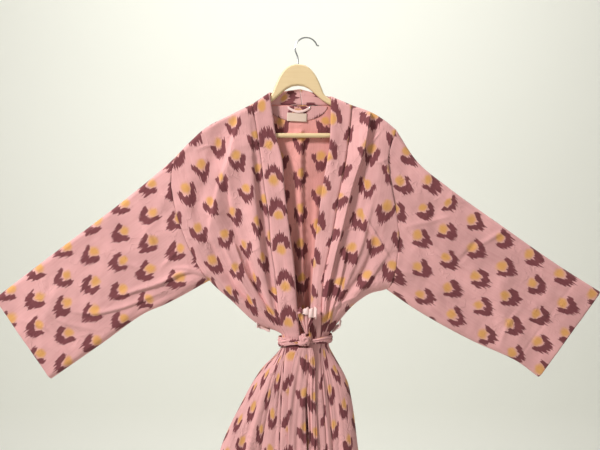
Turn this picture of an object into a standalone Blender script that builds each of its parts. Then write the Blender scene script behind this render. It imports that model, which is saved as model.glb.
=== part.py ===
"""A kimono robe of ikat cotton, hung open on a flat wooden hanger.

Run with: blender --background --python part.py

Every size below is in millimetres and is turned to metres where points are made.
The robe hangs in the XZ plane: +Z is up, +X is the viewer's right, -Y is its front.
The origin is the inside top of the hanger hook, where the robe is held.

Every panel is a sheet whose place in the XZ plane comes from its cut edges, and
whose depth in Y comes from how far each point is from the robe's outline.
"""

import math
from collections import namedtuple

import bmesh
import bpy
import numpy as np

MM = 0.001

# Cloth and seams.
CLOTH = 1.2
BAND_CLOTH = 2.4
TRIM_CLOTH = 1.0
BELT_CLOTH = 2.0
SEAM_GAP = 0.4
LAYER_GAP = 0.35

# Wooden hanger and its hook.
HANGER_X = -17.4
HANGER_THICK = 12.0
HANGER_ROUND = 3.5
ARM_REACH = 200.0
BAR_DIAMETER = 10.0
BAR_Z = -204.0
BAR_HALF = 169.6
HOOK_WIRE = 3.4
HOOK_RADIUS = 23.5
WOOD_TOP = -54.6

# Patch, label and hanging loop inside the neck.
PATCH_HALF = 62.0
PATCH_DROP = 32.0
PATCH_BELOW_NECK = 1.5
PATCH_EDGE_STEP = 0.3
LABEL_WIDTH = 42.0
LABEL_HEIGHT = 17.5
LABEL_X = -19.5
LABEL_Z = -165.0
LABEL_TILT = math.radians(-3)
LOOP_X = -15.0
LOOP_Z = -143.5
LOOP_HALF = 24.0
LOOP_WIDTH = 5.5
LOOP_SAG = 10.0
LOOP_BULGE = 2.2

# Belt, knot, bow, tails and belt loops.
BELT_Z = -634.0
BELT_HEIGHT = 20.0
BELT_FACET = 1.3
BELT_PINCH = 0.25
BELT_PINCH_REACH = 0.5
GATHER_AT_WAIST = 3.4
KNOT_X = -1.0
KNOT_Z = -631.0
KNOT_HALF = np.array((13.0, 6.5, 12.0))
KNOT_LUMP = 0.10
BOW_SUNK = 0.2
BOW_HEIGHT = 50.0
BOW_DEPTH = 8.0
BOW_FOOT = 14.0
BOW_SPREAD = 26.0
BOW_X = 1.0
BOW_LEAN = 3.0
BOW_IN_FRONT = 1.0
BOW_SIDE_DROP = 0.16
BOW_SLANT = 0.10
TAIL_BELOW_KNOT = 0.9
TAIL_IN_FRONT = 4.5
TAIL_OFF_BAND = 3.0
TAIL_OPENS = 16
TAIL_SETTLES = 8
TAIL_RIPPLE = 1.2
BELT_LOOP_OFF_SEAM = 0.4
BELT_LOOP_WIDTH = 8.0

# Edges of the cut pieces as they hang. v runs down the robe: 0 is the shoulder,
# 1 the underarm, 2 the waist and 3 the hem.
Edge = namedtuple("Edge", "v x z")
LEFT_SIDE = (
    Edge(0.00, -273.6, -248.9),
    Edge(0.20, -282.0, -301.0),
    Edge(0.42, -272.0, -360.0),
    Edge(0.62, -254.7, -412.7),
    Edge(0.82, -232.0, -463.0),
    Edge(1.00, -203.0, -508.0),
    Edge(1.30, -156.2, -551.0),
    Edge(1.65, -97.2, -602.0),
    Edge(1.86, -59.0, -616.0),
    Edge(1.93, -51.0, -622.5),
    Edge(2.00, -51.0, -634.0),
    Edge(2.016, -51.0, -646.0),
    Edge(2.03, -58.0, -657.0),
    Edge(2.08, -94.7, -695.5),
    Edge(2.165, -132.1, -759.2),
    Edge(2.30, -180.4, -864.2),
    Edge(3.00, -296.7, -1393.0),
)
LEFT_SEAM = (
    Edge(0.00, -112.1, -138.0),
    Edge(0.19, -102.7, -194.3),
    Edge(0.37, -94.7, -247.8),
    Edge(0.60, -86.7, -314.8),
    Edge(0.80, -77.3, -376.5),
    Edge(1.00, -73.3, -435.3),
    Edge(1.27, -65.1, -488.9),
    Edge(1.57, -59.4, -549.2),
    Edge(1.84, -53.0, -601.7),
    Edge(1.93, -43.0, -622.5),
    Edge(2.00, -42.0, -634.0),
    Edge(2.016, -42.0, -646.0),
    Edge(2.06, -46.0, -680.0),
    Edge(2.30, -55.0, -864.0),
    Edge(3.00, -62.0, -1393.0),
)
LEFT_FREE = (
    Edge(0.00, -76.4, -113.5),
    Edge(0.24, -62.6, -207.7),
    Edge(0.42, -49.1, -261.2),
    Edge(0.60, -45.2, -314.8),
    Edge(0.87, -35.7, -395.2),
    Edge(1.20, -25.0, -475.7),
    Edge(1.57, -19.5, -549.2),
    Edge(1.93, -13.5, -622.5),
    Edge(2.00, -13.0, -634.0),
    Edge(2.016, -13.0, -646.0),
    Edge(2.30, -15.0, -864.0),
    Edge(3.00, -22.0, -1393.0),
)
RIGHT_FREE = (
    Edge(0.00, 51.9, -122.0),
    Edge(0.24, 49.8, -206.9),
    Edge(0.60, 33.8, -314.0),
    Edge(1.00, 17.9, -435.8),
    Edge(1.57, 9.9, -549.2),
    Edge(1.93, 5.5, -622.5),
    Edge(2.00, 5.0, -634.0),
    Edge(2.016, 5.0, -646.0),
    Edge(2.30, 3.0, -864.0),
    Edge(3.00, 8.0, -1393.0),
)
RIGHT_SEAM = (
    Edge(0.00, 95.6, -140.7),
    Edge(0.27, 87.6, -221.1),
    Edge(0.45, 79.4, -274.7),
    Edge(0.63, 68.7, -328.2),
    Edge(0.82, 60.7, -381.8),
    Edge(1.00, 50.0, -435.3),
    Edge(1.35, 36.0, -505.0),
    Edge(1.67, 32.0, -570.2),
    Edge(1.93, 30.5, -622.5),
    Edge(2.00, 30.0, -634.0),
    Edge(2.016, 30.0, -646.0),
    Edge(2.30, 42.0, -864.0),
    Edge(3.00, 48.0, -1393.0),
)
RIGHT_SIDE = (
    Edge(0.00, 188.4, -192.2),
    Edge(0.19, 170.5, -255.2),
    Edge(0.39, 179.3, -322.4),
    Edge(0.65, 192.6, -410.6),
    Edge(0.85, 188.0, -474.0),
    Edge(1.00, 168.0, -526.0),
    Edge(1.25, 138.0, -534.0),
    Edge(1.50, 106.3, -553.4),
    Edge(1.80, 65.0, -598.0),
    Edge(1.88, 54.0, -613.0),
    Edge(1.93, 47.0, -622.5),
    Edge(2.00, 47.0, -634.0),
    Edge(2.016, 47.0, -646.0),
    Edge(2.03, 53.0, -657.0),
    Edge(2.13, 90.1, -733.1),
    Edge(2.30, 109.0, -864.2),
    Edge(3.00, 165.3, -1393.0),
)

# Shoulder lines from the band's free edge out to the sleeve seam.
Spot = namedtuple("Spot", "x z")
LEFT_SHOULDER = (
    Spot(-76.4, -113.5),
    Spot(-112.1, -138.0),
    Spot(-151.8, -157.7),
    Spot(-209.4, -187.3),
    Spot(-241.5, -215.5),
    Spot(-273.6, -248.9),
)
RIGHT_SHOULDER = (
    Spot(51.9, -122.0),
    Spot(95.6, -140.7),
    Spot(135.9, -155.4),
    Spot(165.0, -173.0),
    Spot(188.4, -192.2),
)

# Upper and lower edges of the sleeves, from the armhole to the cuff.
LEFT_SLEEVE_TOP = (
    Spot(-273.6, -248.9),
    Spot(-293.8, -267.8),
    Spot(-402.2, -356.2),
    Spot(-522.7, -446.5),
    Spot(-651.6, -545.0),
)
LEFT_SLEEVE_UNDER = (
    Spot(-203.0, -508.0),
    Spot(-297.8, -559.0),
    Spot(-333.9, -574.0),
    Spot(-430.0, -641.0),
    Spot(-534.7, -713.8),
)
RIGHT_SLEEVE_TOP = (
    Spot(188.4, -192.2),
    Spot(233.7, -259.8),
    Spot(295.9, -311.6),
    Spot(420.4, -400.9),
    Spot(524.4, -473.6),
    Spot(615.7, -531.7),
)
RIGHT_SLEEVE_UNDER = (
    Spot(168.0, -526.0),
    Spot(217.1, -560.7),
    Spot(279.3, -598.1),
    Spot(349.9, -635.3),
    Spot(441.2, -677.0),
    Spot(487.0, -710.2),
)

# Back of the neck: q runs from the shoulder, 0, to the middle of the back, 1.
NECK_MIDDLE = Spot(-8.2, -139.4)
BAND_TOP_MIDDLE = Spot(-13.0, -105.0)

# How thick the robe hangs: half its depth, and the width over which it rounds off
# at its outline, at each height.
Depth = namedtuple("Depth", "z half rounding")
BODY_DEPTHS = (
    Depth(-1393.0, 32.0, 60.0),
    Depth(-1100.0, 27.0, 55.0),
    Depth(-864.0, 24.0, 52.0),
    Depth(-720.0, 22.0, 50.0),
    Depth(-634.0, 21.0, 48.0),
    Depth(-580.0, 20.0, 38.0),
    Depth(-508.0, 16.0, 22.0),
    Depth(-400.0, 13.0, 14.0),
    Depth(-300.0, 11.0, 10.0),
    Depth(-190.0, 9.0, 7.5),
    Depth(-105.0, 9.0, 7.0),
)
CUFF_HALF_DEPTH = 8.0
CUFF_ROUNDING = 11.0

# Rows of each panel down the robe, closer where the cloth turns over the shoulder
# and under the arm.
UPPER_ROWS = (0.0, 0.003, 0.011, 0.024, 0.042, 0.10, 0.19, 0.30, 0.42, 0.55, 0.68,
              0.80, 0.89, 0.95, 0.985, 1.0)
MIDDLE_ROWS = (1.06, 1.16, 1.3, 1.45, 1.6, 1.74, 1.86, 1.93)
LOWER_ROWS = (2.016, 2.03, 2.06, 2.11, 2.18, 2.28, 2.42, 2.6, 2.8, 3.0)
ROWS = np.array(UPPER_ROWS + MIDDLE_ROWS + LOWER_ROWS)
NECK_COLUMNS = np.array((0.0, 0.01, 0.04, 0.09, 0.155, 0.3, 0.5, 0.75, 1.0))
SLEEVE_RINGS = np.array((0.0, 0.03, 0.08, 0.14, 0.21, 0.29, 0.37, 0.46, 0.55, 0.64,
                         0.73, 0.82, 0.91, 1.0))
BACK_SHOULDER_COLUMNS = np.array((0.0, 0.04, 0.2, 0.36, 0.52, 0.68, 0.84, 1.0))

# Gathers that the belt draws in, as half waves across each front. The back's own
# columns carry one half wave for every two of them.
FRONT_GATHERS = 7
COLUMNS_A_HALF_WAVE = 2
TURN_AT_SIDE = 0.011
FLAT_BY_SEAM = 0.045
FLAT_FIRST_COLUMNS = 3
GATHER_MEAN = 0.76
GATHER_SWING = 0.24
SWING_STEP = 1.7
SWING_START = 0.4
GATHER_ROOM = 0.75
DEPTH_KEPT = 3.0
GATHERS_SHIFT = 0.016
SHOULDER_BEND_ENDS = 0.6
NECK_SPACING_ENDS = 0.8
FOLD_END = 0.02
FOLD_FULLNESS = 0.6
Gather = namedtuple("Gather", "v depth")
GATHER_DEPTHS = (
    Gather(1.0, 0.0),
    Gather(1.5, 2.5),
    Gather(1.85, 4.3),
    Gather(1.93, GATHER_AT_WAIST),
    Gather(2.016, GATHER_AT_WAIST),
    Gather(2.1, 7.0),
    Gather(2.3, 11.0),
    Gather(3.0, 14.0),
)

# The largest folds: each runs from one end to the other, stands out by rise (or
# sinks, below zero) and dies away over its width. face is -1 in front, 1 behind.
Fold = namedtuple("Fold", "face x1 z1 x2 z2 width rise")
FOLDS = (
    Fold(-1, -150.0, -175.0, -215.0, -450.0, 14.0, 5.0),
    Fold(-1, -182.0, -290.0, -75.0, -590.0, 12.0, 5.0),
    Fold(-1, -90.0, -390.0, -68.0, -560.0, 9.0, -4.0),
    Fold(-1, 118.0, -175.0, 58.0, -520.0, 10.0, 6.0),
    Fold(-1, 96.0, -240.0, 52.0, -500.0, 8.0, -3.5),
    Fold(-1, 122.0, -370.0, 176.0, -462.0, 11.0, 4.0),
    Fold(-1, 52.0, -562.0, 136.0, -532.0, 9.0, 3.0),
    Fold(-1, -395.0, -545.0, -215.0, -495.0, 13.0, 4.5),
    Fold(-1, -272.0, -482.0, -215.0, -495.0, 10.0, 3.5),
    Fold(-1, -480.0, -575.0, -310.0, -560.0, 12.0, 3.5),
    Fold(-1, -350.0, -390.0, -318.0, -440.0, 13.0, 3.0),
    Fold(-1, 358.0, -440.0, 420.0, -402.0, 13.0, 3.5),
    Fold(-1, 318.0, -478.0, 360.0, -420.0, 12.0, -3.0),
    Fold(-1, 205.0, -400.0, 300.0, -372.0, 13.0, 3.5),
    Fold(1, -160.0, -180.0, -205.0, -440.0, 15.0, 4.5),
    Fold(1, 110.0, -190.0, 130.0, -450.0, 15.0, 4.5),
    Fold(1, -20.0, -215.0, -12.0, -520.0, 13.0, 4.0),
    Fold(1, -95.0, -330.0, -50.0, -560.0, 12.0, -3.5),
    Fold(1, 70.0, -330.0, 35.0, -560.0, 12.0, -3.5),
    Fold(1, -420.0, -560.0, -230.0, -490.0, 14.0, 4.0),
    Fold(1, -500.0, -520.0, -380.0, -420.0, 14.0, 3.0),
    Fold(1, 220.0, -500.0, 380.0, -580.0, 14.0, 4.0),
    Fold(1, 300.0, -400.0, 450.0, -520.0, 14.0, 3.0),
)

PINK = (0.71, 0.39, 0.38, 1.0)
DEEP_PINK = (0.60, 0.31, 0.31, 1.0)
LABEL_BEIGE = (0.72, 0.60, 0.48, 1.0)
BIRCH = (0.82, 0.64, 0.38, 1.0)
STEEL = (0.55, 0.56, 0.58, 1.0)

for item in list(bpy.data.objects):
    bpy.data.objects.remove(item, do_unlink=True)

robe = bpy.data.collections.new("KimonoRobe")
bpy.context.scene.collection.children.link(robe)


def smooth(knots, values, at):
    """Read a table at any place on a cubic that doesn't overshoot its rows."""
    knots = np.asarray(knots, float)
    values = np.asarray(values, float)
    steps = np.diff(knots)
    slopes = np.diff(values) / steps
    tangents = np.zeros_like(values)
    tangents[0] = slopes[0]
    tangents[-1] = slopes[-1]
    for row in range(1, len(knots) - 1):
        before, after = slopes[row - 1], slopes[row]
        if before * after > 0:
            tangents[row] = 2 * before * after / (before + after)
    at = np.clip(at, knots[0], knots[-1])
    row = np.clip(np.searchsorted(knots, at, side="right") - 1, 0, len(knots) - 2)
    t = (at - knots[row]) / steps[row]
    start = (1 + 2 * t) * (1 - t) ** 2 * values[row]
    start_tangent = t * (1 - t) ** 2 * steps[row] * tangents[row]
    end = t ** 2 * (3 - 2 * t) * values[row + 1]
    end_tangent = t ** 2 * (t - 1) * steps[row] * tangents[row + 1]
    return start + start_tangent + end + end_tangent


def read_table(table, by, column, at):
    """One named column of a table, read smoothly at a place in another column."""
    knots = [getattr(row, by) for row in table]
    values = [getattr(row, column) for row in table]
    return smooth(knots, values, at)


def edge_points(table, v):
    """Points (x, z) on a cut edge at the places v down the robe."""
    v = np.asarray(v, float)
    return np.stack([read_table(table, "v", "x", v), read_table(table, "v", "z", v)], -1)


def along(spots, at):
    """Points (x, z) along a row of spots, at fractions of its length."""
    line = np.array([(spot.x, spot.z) for spot in spots])
    lengths = np.linalg.norm(np.diff(line, axis=0), axis=1)
    reached = np.concatenate([[0], np.cumsum(lengths)]) / lengths.sum()
    return np.stack([smooth(reached, line[:, 0], at), smooth(reached, line[:, 1], at)], -1)


def outline_lines():
    """The robe's closed edges: over the shoulders and sleeves, and up the sides."""
    fine = np.linspace(0, 1, 41)
    side = np.linspace(1, 3, 81)
    lines = []
    for shoulder, top in ((LEFT_SHOULDER, LEFT_SLEEVE_TOP), (RIGHT_SHOULDER, RIGHT_SLEEVE_TOP)):
        neck = np.array([shoulder[0]])
        lines.append(np.vstack([neck, along(shoulder[1:], fine), along(top, fine)[1:]]))
    for edge, under in ((LEFT_SIDE, LEFT_SLEEVE_UNDER), (RIGHT_SIDE, RIGHT_SLEEVE_UNDER)):
        lines.append(np.vstack([along(under, fine)[::-1], edge_points(edge, side)[1:]]))
    return lines


OUTLINE = outline_lines()


def inset(points):
    """How far each point (x, z) lies from the robe's outline."""
    nearest = np.full(points.shape[:-1], np.inf)
    for line in OUTLINE:
        for start, end in zip(line[:-1], line[1:]):
            run = end - start
            length = float(run @ run)
            if length < 1e-9:
                continue
            t = np.clip(((points - start) @ run) / length, 0, 1)
            gap = np.linalg.norm(points - (start + t[..., None] * run), axis=-1)
            nearest = np.minimum(nearest, gap)
    return nearest


def fold_height(points, face):
    """How far the folds of one face push each point out."""
    height = np.zeros(points.shape[:-1])
    for fold in FOLDS:
        if fold.face != face:
            continue
        start = np.array((fold.x1, fold.z1))
        run = np.array((fold.x2, fold.z2)) - start
        length = np.linalg.norm(run)
        t = np.clip(((points - start) @ run) / length ** 2, 0, 1)
        gap = np.linalg.norm(points - (start + t[..., None] * run), axis=-1)
        swell = np.sin(np.pi * np.clip(t, FOLD_END, 1 - FOLD_END)) ** FOLD_FULLNESS
        height += fold.rise * swell * np.exp(-(gap / fold.width) ** 2)
    return height


def hang_depth(points, face, half=None, rounding=None):
    """Depth y of the cloth's middle at each point (x, z) of one face."""
    z = points[..., 1]
    if half is None:
        half = read_table(BODY_DEPTHS, "z", "half", z)
        rounding = read_table(BODY_DEPTHS, "z", "rounding", z)
    near = np.clip(inset(points) / rounding, 0, 1)
    turned = np.sqrt(1 - (1 - near) ** 2)
    return face * turned * (half + fold_height(points, face) * near)


def spread(points, face, fractions):
    """Move each row's columns so that they are set by length along the cloth."""
    depth = hang_depth(points, face)
    cloth = np.stack([points[..., 0], depth, points[..., 1]], -1)
    steps = np.linalg.norm(np.diff(cloth, axis=1), axis=2)
    reached = np.concatenate([np.zeros((len(points), 1)), np.cumsum(steps, axis=1)], axis=1)
    rows = []
    for row, length in zip(points, reached):
        at = fractions * length[-1]
        rows.append(np.stack([np.interp(at, length, row[:, 0]), np.interp(at, length, row[:, 1])], -1))
    return np.array(rows)


def sheet_normals(cloth):
    """Unit normals of a sheet of points, toward the side its rows and columns turn."""
    across = np.gradient(cloth, axis=1)
    down = np.gradient(cloth, axis=0)
    normals = np.cross(down, across)
    return normals / np.linalg.norm(normals, axis=2, keepdims=True)


def gather_wave(columns, flat_last, flat_middle):
    """One full wave for every four columns, with flat columns beside each seam."""
    step = (np.arange(columns) - FLAT_FIRST_COLUMNS + 0.5) / COLUMNS_A_HALF_WAVE
    uneven = GATHER_MEAN + GATHER_SWING * np.sin(SWING_STEP * np.floor(step) + SWING_START)
    wave = np.sin(math.pi * step) * math.sqrt(2) * uneven
    wave[:FLAT_FIRST_COLUMNS] = 0
    wave[-flat_last:] = 0
    if flat_middle:
        wave[columns // 2 - 1:columns // 2 + 2] = 0
    return wave


def gather(cloth, face, flat_last, flat_middle=False):
    """Draw a sheet into gathers that start at the chest and open toward the hem."""
    depth = read_table(GATHER_DEPTHS, "v", "depth", ROWS)
    wave = gather_wave(cloth.shape[1], flat_last, flat_middle)
    normals = sheet_normals(cloth)
    outward = np.sign(normals[..., 1] * face)[..., None]
    room = np.clip(GATHER_ROOM * (np.abs(cloth[..., 1]) - DEPTH_KEPT), 0, None)
    push = wave[None, :] * np.minimum(depth[:, None], room)
    return cloth + outward * normals * push[..., None]


def principled(name, colour, roughness, metallic=0.0):
    """A plain material of one colour."""
    material = bpy.data.materials.new(name)
    material.use_nodes = True
    shader = material.node_tree.nodes["Principled BSDF"]
    shader.inputs["Base Color"].default_value = colour
    shader.inputs["Roughness"].default_value = roughness
    shader.inputs["Metallic"].default_value = metallic
    material.diffuse_color = colour
    return material


def add_object(name, data, material):
    """Link a new object with its own material into the robe's collection."""
    item = bpy.data.objects.new(name, data)
    robe.objects.link(item)
    data.materials.append(material)
    return item


def add_cloth(name, cloth, thickness, colour, tube=False):
    """Make a sheet, or a tube whose last column meets its first, into a cloth wall."""
    rows, columns = cloth.shape[:2]
    mesh = bpy.data.meshes.new(name)
    build = bmesh.new()
    points = [[build.verts.new(point * MM) for point in row] for row in cloth]
    for row in range(rows - 1):
        for column in range(columns if tube else columns - 1):
            after = (column + 1) % columns
            build.faces.new((points[row][column], points[row + 1][column],
                             points[row + 1][after], points[row][after]))
    build.to_mesh(mesh)
    build.free()
    mesh.shade_smooth()
    item = add_object(name, mesh, principled(name, colour, 0.85))
    wall = item.modifiers.new("Wall", "SOLIDIFY")
    wall.thickness = thickness * MM
    wall.offset = 0.0


def rows_between(outer, seam, shoulder):
    """Straight rows from the outer edge to the band seam, bent near the shoulder."""
    fine = np.linspace(0, 1, 61)
    rows = outer[:, None, :] + (seam - outer)[:, None, :] * fine[None, :, None]
    line = along(shoulder, fine)
    bend = line - (line[0] + (line[-1] - line[0]) * fine[:, None])
    fade = np.clip(1 - ROWS / SHOULDER_BEND_ENDS, 0, 1) ** 2
    return rows + bend[None] * fade[:, None, None]


def add_front(name, side, seam, shoulder):
    """One front, from its side and armhole to the seam of the neck band."""
    gathered = np.arange(COLUMNS_A_HALF_WAVE * FRONT_GATHERS) + 0.5
    gathered /= len(gathered)
    gathered += GATHERS_SHIFT * np.sin(4 * math.pi * gathered)
    gathered = FLAT_BY_SEAM + gathered * (1 - 2 * FLAT_BY_SEAM)
    columns = np.concatenate([[0, TURN_AT_SIDE, FLAT_BY_SEAM], gathered,
                              [1 - FLAT_BY_SEAM, 1]])
    outer = edge_points(side, ROWS)
    inner = edge_points(seam, ROWS)
    inward = inner - outer
    inward /= np.linalg.norm(inward, axis=1, keepdims=True)
    sewn = (ROWS <= 1)[:, None]
    outer = outer + inward * SEAM_GAP / 2 * sewn
    inner = inner - inward * SEAM_GAP / 2
    points = spread(rows_between(outer, inner, shoulder), -1, columns)
    depth = hang_depth(points, -1)
    cloth = np.stack([points[..., 0], depth - SEAM_GAP / 2, points[..., 1]], -1)
    cloth = gather(cloth, -1, 2)
    add_cloth(name, cloth, CLOTH, PINK)


def add_back():
    """The back's two halves, joined down the middle and hollowed along the neck."""
    left = edge_points(LEFT_SIDE, ROWS)
    right = edge_points(RIGHT_SIDE, ROWS)
    left_neck = edge_points(LEFT_SEAM, ROWS)
    right_neck = edge_points(RIGHT_SEAM, ROWS)
    middle = (left_neck + right_neck) / 2
    middle[0] = NECK_MIDDLE
    sewn = (ROWS <= 1)[:, None]
    left = left + (SEAM_GAP / 2) * sewn * np.array((1, 0))
    right = right - (SEAM_GAP / 2) * sewn * np.array((1, 0))
    left_rows = rows_between(left, left_neck, LEFT_SHOULDER[:0:-1])
    right_rows = rows_between(right, right_neck, RIGHT_SHOULDER[:0:-1])
    half_left = [spread(left_rows, 1, BACK_SHOULDER_COLUMNS)]
    half_right = [spread(right_rows, 1, BACK_SHOULDER_COLUMNS)]
    for half, neck in ((half_left, left_neck), (half_right, right_neck)):
        run = (middle - neck)[:, None, :] * NECK_COLUMNS[None, 1:, None]
        half.append(neck[:, None, :] + run)
    half_left = np.concatenate(half_left, axis=1)
    half_right = np.concatenate(half_right, axis=1)
    points = np.concatenate([half_left, half_right[:, -2::-1]], axis=1)
    gathered = np.linspace(FLAT_BY_SEAM, 1 - FLAT_BY_SEAM, points.shape[1] - 4)
    columns = np.concatenate([[0, TURN_AT_SIDE], gathered, [1 - TURN_AT_SIDE, 1]])
    even = spread(points, 1, columns)
    settled = np.clip(ROWS / NECK_SPACING_ENDS, 0, 1)[:, None, None]
    points = points + (even - points) * settled ** 2 * (3 - 2 * settled)
    shoulder_columns = len(BACK_SHOULDER_COLUMNS)
    neck = slice(shoulder_columns, points.shape[1] - shoulder_columns)
    points[0, neck, 1] -= SEAM_GAP / 2
    depth = hang_depth(points, 1)
    cloth = np.stack([points[..., 0], depth + SEAM_GAP / 2, points[..., 1]], -1)
    cloth = gather(cloth, 1, 3, flat_middle=True)
    middle = cloth.shape[1] // 2
    left_half, right_half = cloth[:, :middle + 1].copy(), cloth[:, middle:].copy()
    left_half[:, -1, 0] -= SEAM_GAP / 2
    right_half[:, 0, 0] += SEAM_GAP / 2
    add_cloth("back_left", left_half, CLOTH, DEEP_PINK)
    add_cloth("back_right", right_half, CLOTH, DEEP_PINK)


def add_sleeve(name, side, top, under):
    """One sleeve, a flattened tube from the armhole to the open cuff."""
    across = np.array(UPPER_ROWS)
    armhole = edge_points(side, across)
    cuff_top = np.array((top[-1].x, top[-1].z))
    cuff_under = np.array((under[-1].x, under[-1].z))
    cuff = cuff_top + (cuff_under - cuff_top) * across[:, None]
    upper = along(top, SLEEVE_RINGS)
    lower = along(under, SLEEVE_RINGS)
    rings = []
    for ring, down in enumerate(SLEEVE_RINGS):
        run = armhole + (cuff - armhole) * down
        bend_top = upper[ring] - run[0]
        bend_under = lower[ring] - run[-1]
        rings.append(run + bend_top * (1 - across[:, None]) + bend_under * across[:, None])
    points = np.array(rings)
    outward = cuff - armhole
    outward /= np.linalg.norm(outward, axis=1, keepdims=True)
    points[0] += outward * SEAM_GAP / 2
    body_half = read_table(BODY_DEPTHS, "z", "half", armhole[:, 1])
    body_rounding = read_table(BODY_DEPTHS, "z", "rounding", armhole[:, 1])
    settle = np.sqrt(SLEEVE_RINGS)[:, None]
    half = body_half + (CUFF_HALF_DEPTH - body_half) * settle
    rounding = body_rounding + (CUFF_ROUNDING - body_rounding) * settle
    faces = []
    for face in (-1, 1):
        depth = hang_depth(points, face, half, rounding)
        depth = depth + face * SEAM_GAP / 2
        depth[:, (0, -1)] = 0
        faces.append(np.stack([points[..., 0], depth, points[..., 1]], -1))
    front, back = faces
    cloth = np.concatenate([front, back[:, -2:0:-1]], axis=1)
    add_cloth(name, cloth, CLOTH, PINK, tube=True)


def add_band(name, seam, free, middle_gap):
    """One half of the neck band: up the front, over the shoulder, round the neck."""
    across = np.array((0.0, 0.5, 1.0))
    sewn = edge_points(seam, ROWS)
    loose = edge_points(free, ROWS)
    toward = loose - sewn
    toward /= np.linalg.norm(toward, axis=1, keepdims=True)
    sewn = sewn + toward * SEAM_GAP / 2
    points = sewn[:, None] + (loose - sewn)[:, None] * across[None, :, None]
    front = np.stack([points[..., 0], hang_depth(points, -1), points[..., 1]], -1)
    front[0, :, 1] = 0

    neck_start = np.array((seam[0].x, seam[0].z))
    top_start = np.array((free[0].x, free[0].z))
    steps = NECK_COLUMNS[1:, None]
    sewn = neck_start + (np.array(NECK_MIDDLE) - neck_start) * steps
    sewn[:, 1] += SEAM_GAP / 2
    loose = top_start + (np.array(BAND_TOP_MIDDLE) - top_start) * steps
    sewn[-1, 0] += middle_gap
    loose[-1, 0] += middle_gap
    points = sewn[:, None] + (loose - sewn)[:, None] * across[None, :, None]
    behind = np.stack([points[..., 0], hang_depth(points, 1), points[..., 1]], -1)
    cloth = np.concatenate([front[::-1], behind])
    add_cloth(name, cloth, BAND_CLOTH, PINK)


def back_inside(x, z, out):
    """Points lying on the inside of the back, moved off its middle by out."""
    points = np.stack([x, z], -1)
    depth = hang_depth(points, 1) + SEAM_GAP / 2 - out
    return np.stack([x, depth, z], -1)


def add_neck_trims():
    """The half-moon patch, the blank label and the hanging loop inside the neck."""
    patch_top = NECK_MIDDLE.z - PATCH_BELOW_NECK
    angle = np.linspace(0, math.pi, 17)
    inward = np.linspace(1, 0, 5)
    x = HANGER_X + PATCH_HALF * np.cos(angle)[:, None] * np.ones_like(inward)
    z = patch_top - PATCH_DROP * np.sin(angle)[:, None] * inward
    z = np.minimum(z, patch_top - PATCH_EDGE_STEP * (1 - inward))
    x, z = x[1:-1], z[1:-1]
    off_back = CLOTH / 2 + LAYER_GAP + TRIM_CLOTH / 2
    add_cloth("neck_patch", back_inside(x, z, off_back), TRIM_CLOTH, DEEP_PINK)

    off_patch = off_back + TRIM_CLOTH + LAYER_GAP
    across = np.linspace(-0.5, 0.5, 5)[None] * LABEL_WIDTH
    down = np.linspace(0.5, -0.5, 4)[:, None] * LABEL_HEIGHT
    x = LABEL_X + across * math.cos(LABEL_TILT) - down * math.sin(LABEL_TILT)
    z = LABEL_Z + across * math.sin(LABEL_TILT) + down * math.cos(LABEL_TILT)
    add_cloth("label", back_inside(x, z, off_patch), TRIM_CLOTH, LABEL_BEIGE)

    sweep = np.linspace(-1, 1, 13)
    x = LOOP_X + LOOP_HALF * sweep[:, None] * np.ones(3)
    middle = LOOP_Z - LOOP_SAG * (1 - sweep ** 2)
    z = middle[:, None] + np.array((0.5, 0, -0.5)) * LOOP_WIDTH
    lift = off_patch + LOOP_BULGE * (1 - sweep[:, None] ** 2) * np.ones(3)
    add_cloth("hang_loop", back_inside(x, z, lift), TRIM_CLOTH, PINK)


def waist_ring(angle, out):
    """Points round the gathered waist, moved out from its middle line by out."""
    left, right = edge_points(LEFT_SIDE, 2.0)[0], edge_points(RIGHT_SIDE, 2.0)[0]
    half_width = (right - left) / 2
    half_depth = read_table(BODY_DEPTHS, "z", "half", BELT_Z)
    away_x, away_y = half_depth * np.cos(angle), half_width * np.sin(angle)
    length = np.hypot(away_x, away_y)
    x = (right + left) / 2 + half_width * np.cos(angle) + out * away_x / length
    return x, half_depth * np.sin(angle) + out * away_y / length


def belt_front():
    """How far forward, as y, the front of the belt round the waist comes."""
    angle = np.linspace(0, 2 * math.pi, 45)[:-1]
    return float(waist_ring(angle, belt_off_waist())[1].min()) - BELT_CLOTH / 2


def belt_off_waist():
    """How far the belt's middle lies off the middle of the gathered waist."""
    return GATHER_AT_WAIST + CLOTH / 2 + LAYER_GAP + BELT_CLOTH / 2 + BELT_FACET


def add_belt_wrap():
    """The belt round the waist, pinched in at the knot."""
    angle = np.linspace(0, 2 * math.pi, 45)[:-1]
    x, y = waist_ring(angle, belt_off_waist())
    pinch = 1 - BELT_PINCH * np.exp(-((angle - 1.5 * math.pi) / BELT_PINCH_REACH) ** 2)
    rows = []
    for place in (0.5, 0.17, -0.17, -0.5):
        z = BELT_Z + place * BELT_HEIGHT * pinch
        rows.append(np.stack([x, y, z], -1))
    add_cloth("belt_wrap", np.array(rows), BELT_CLOTH, PINK, tube=True)


def add_knot(knot_at):
    """The knot: a flattened ball, a little lumpy where the strip crosses itself."""
    mesh = bpy.data.meshes.new("belt_knot")
    build = bmesh.new()
    bmesh.ops.create_uvsphere(build, u_segments=16, v_segments=10, radius=1.0)
    for vert in build.verts:
        place = np.array(vert.co)
        lump = 1 + KNOT_LUMP * math.sin(5 * place[0] + 4 * place[2])
        vert.co = (knot_at + place * KNOT_HALF * lump) * MM
    build.to_mesh(mesh)
    build.free()
    mesh.shade_smooth()
    add_object("belt_knot", mesh, principled("belt_knot", DEEP_PINK, 0.85))


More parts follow.
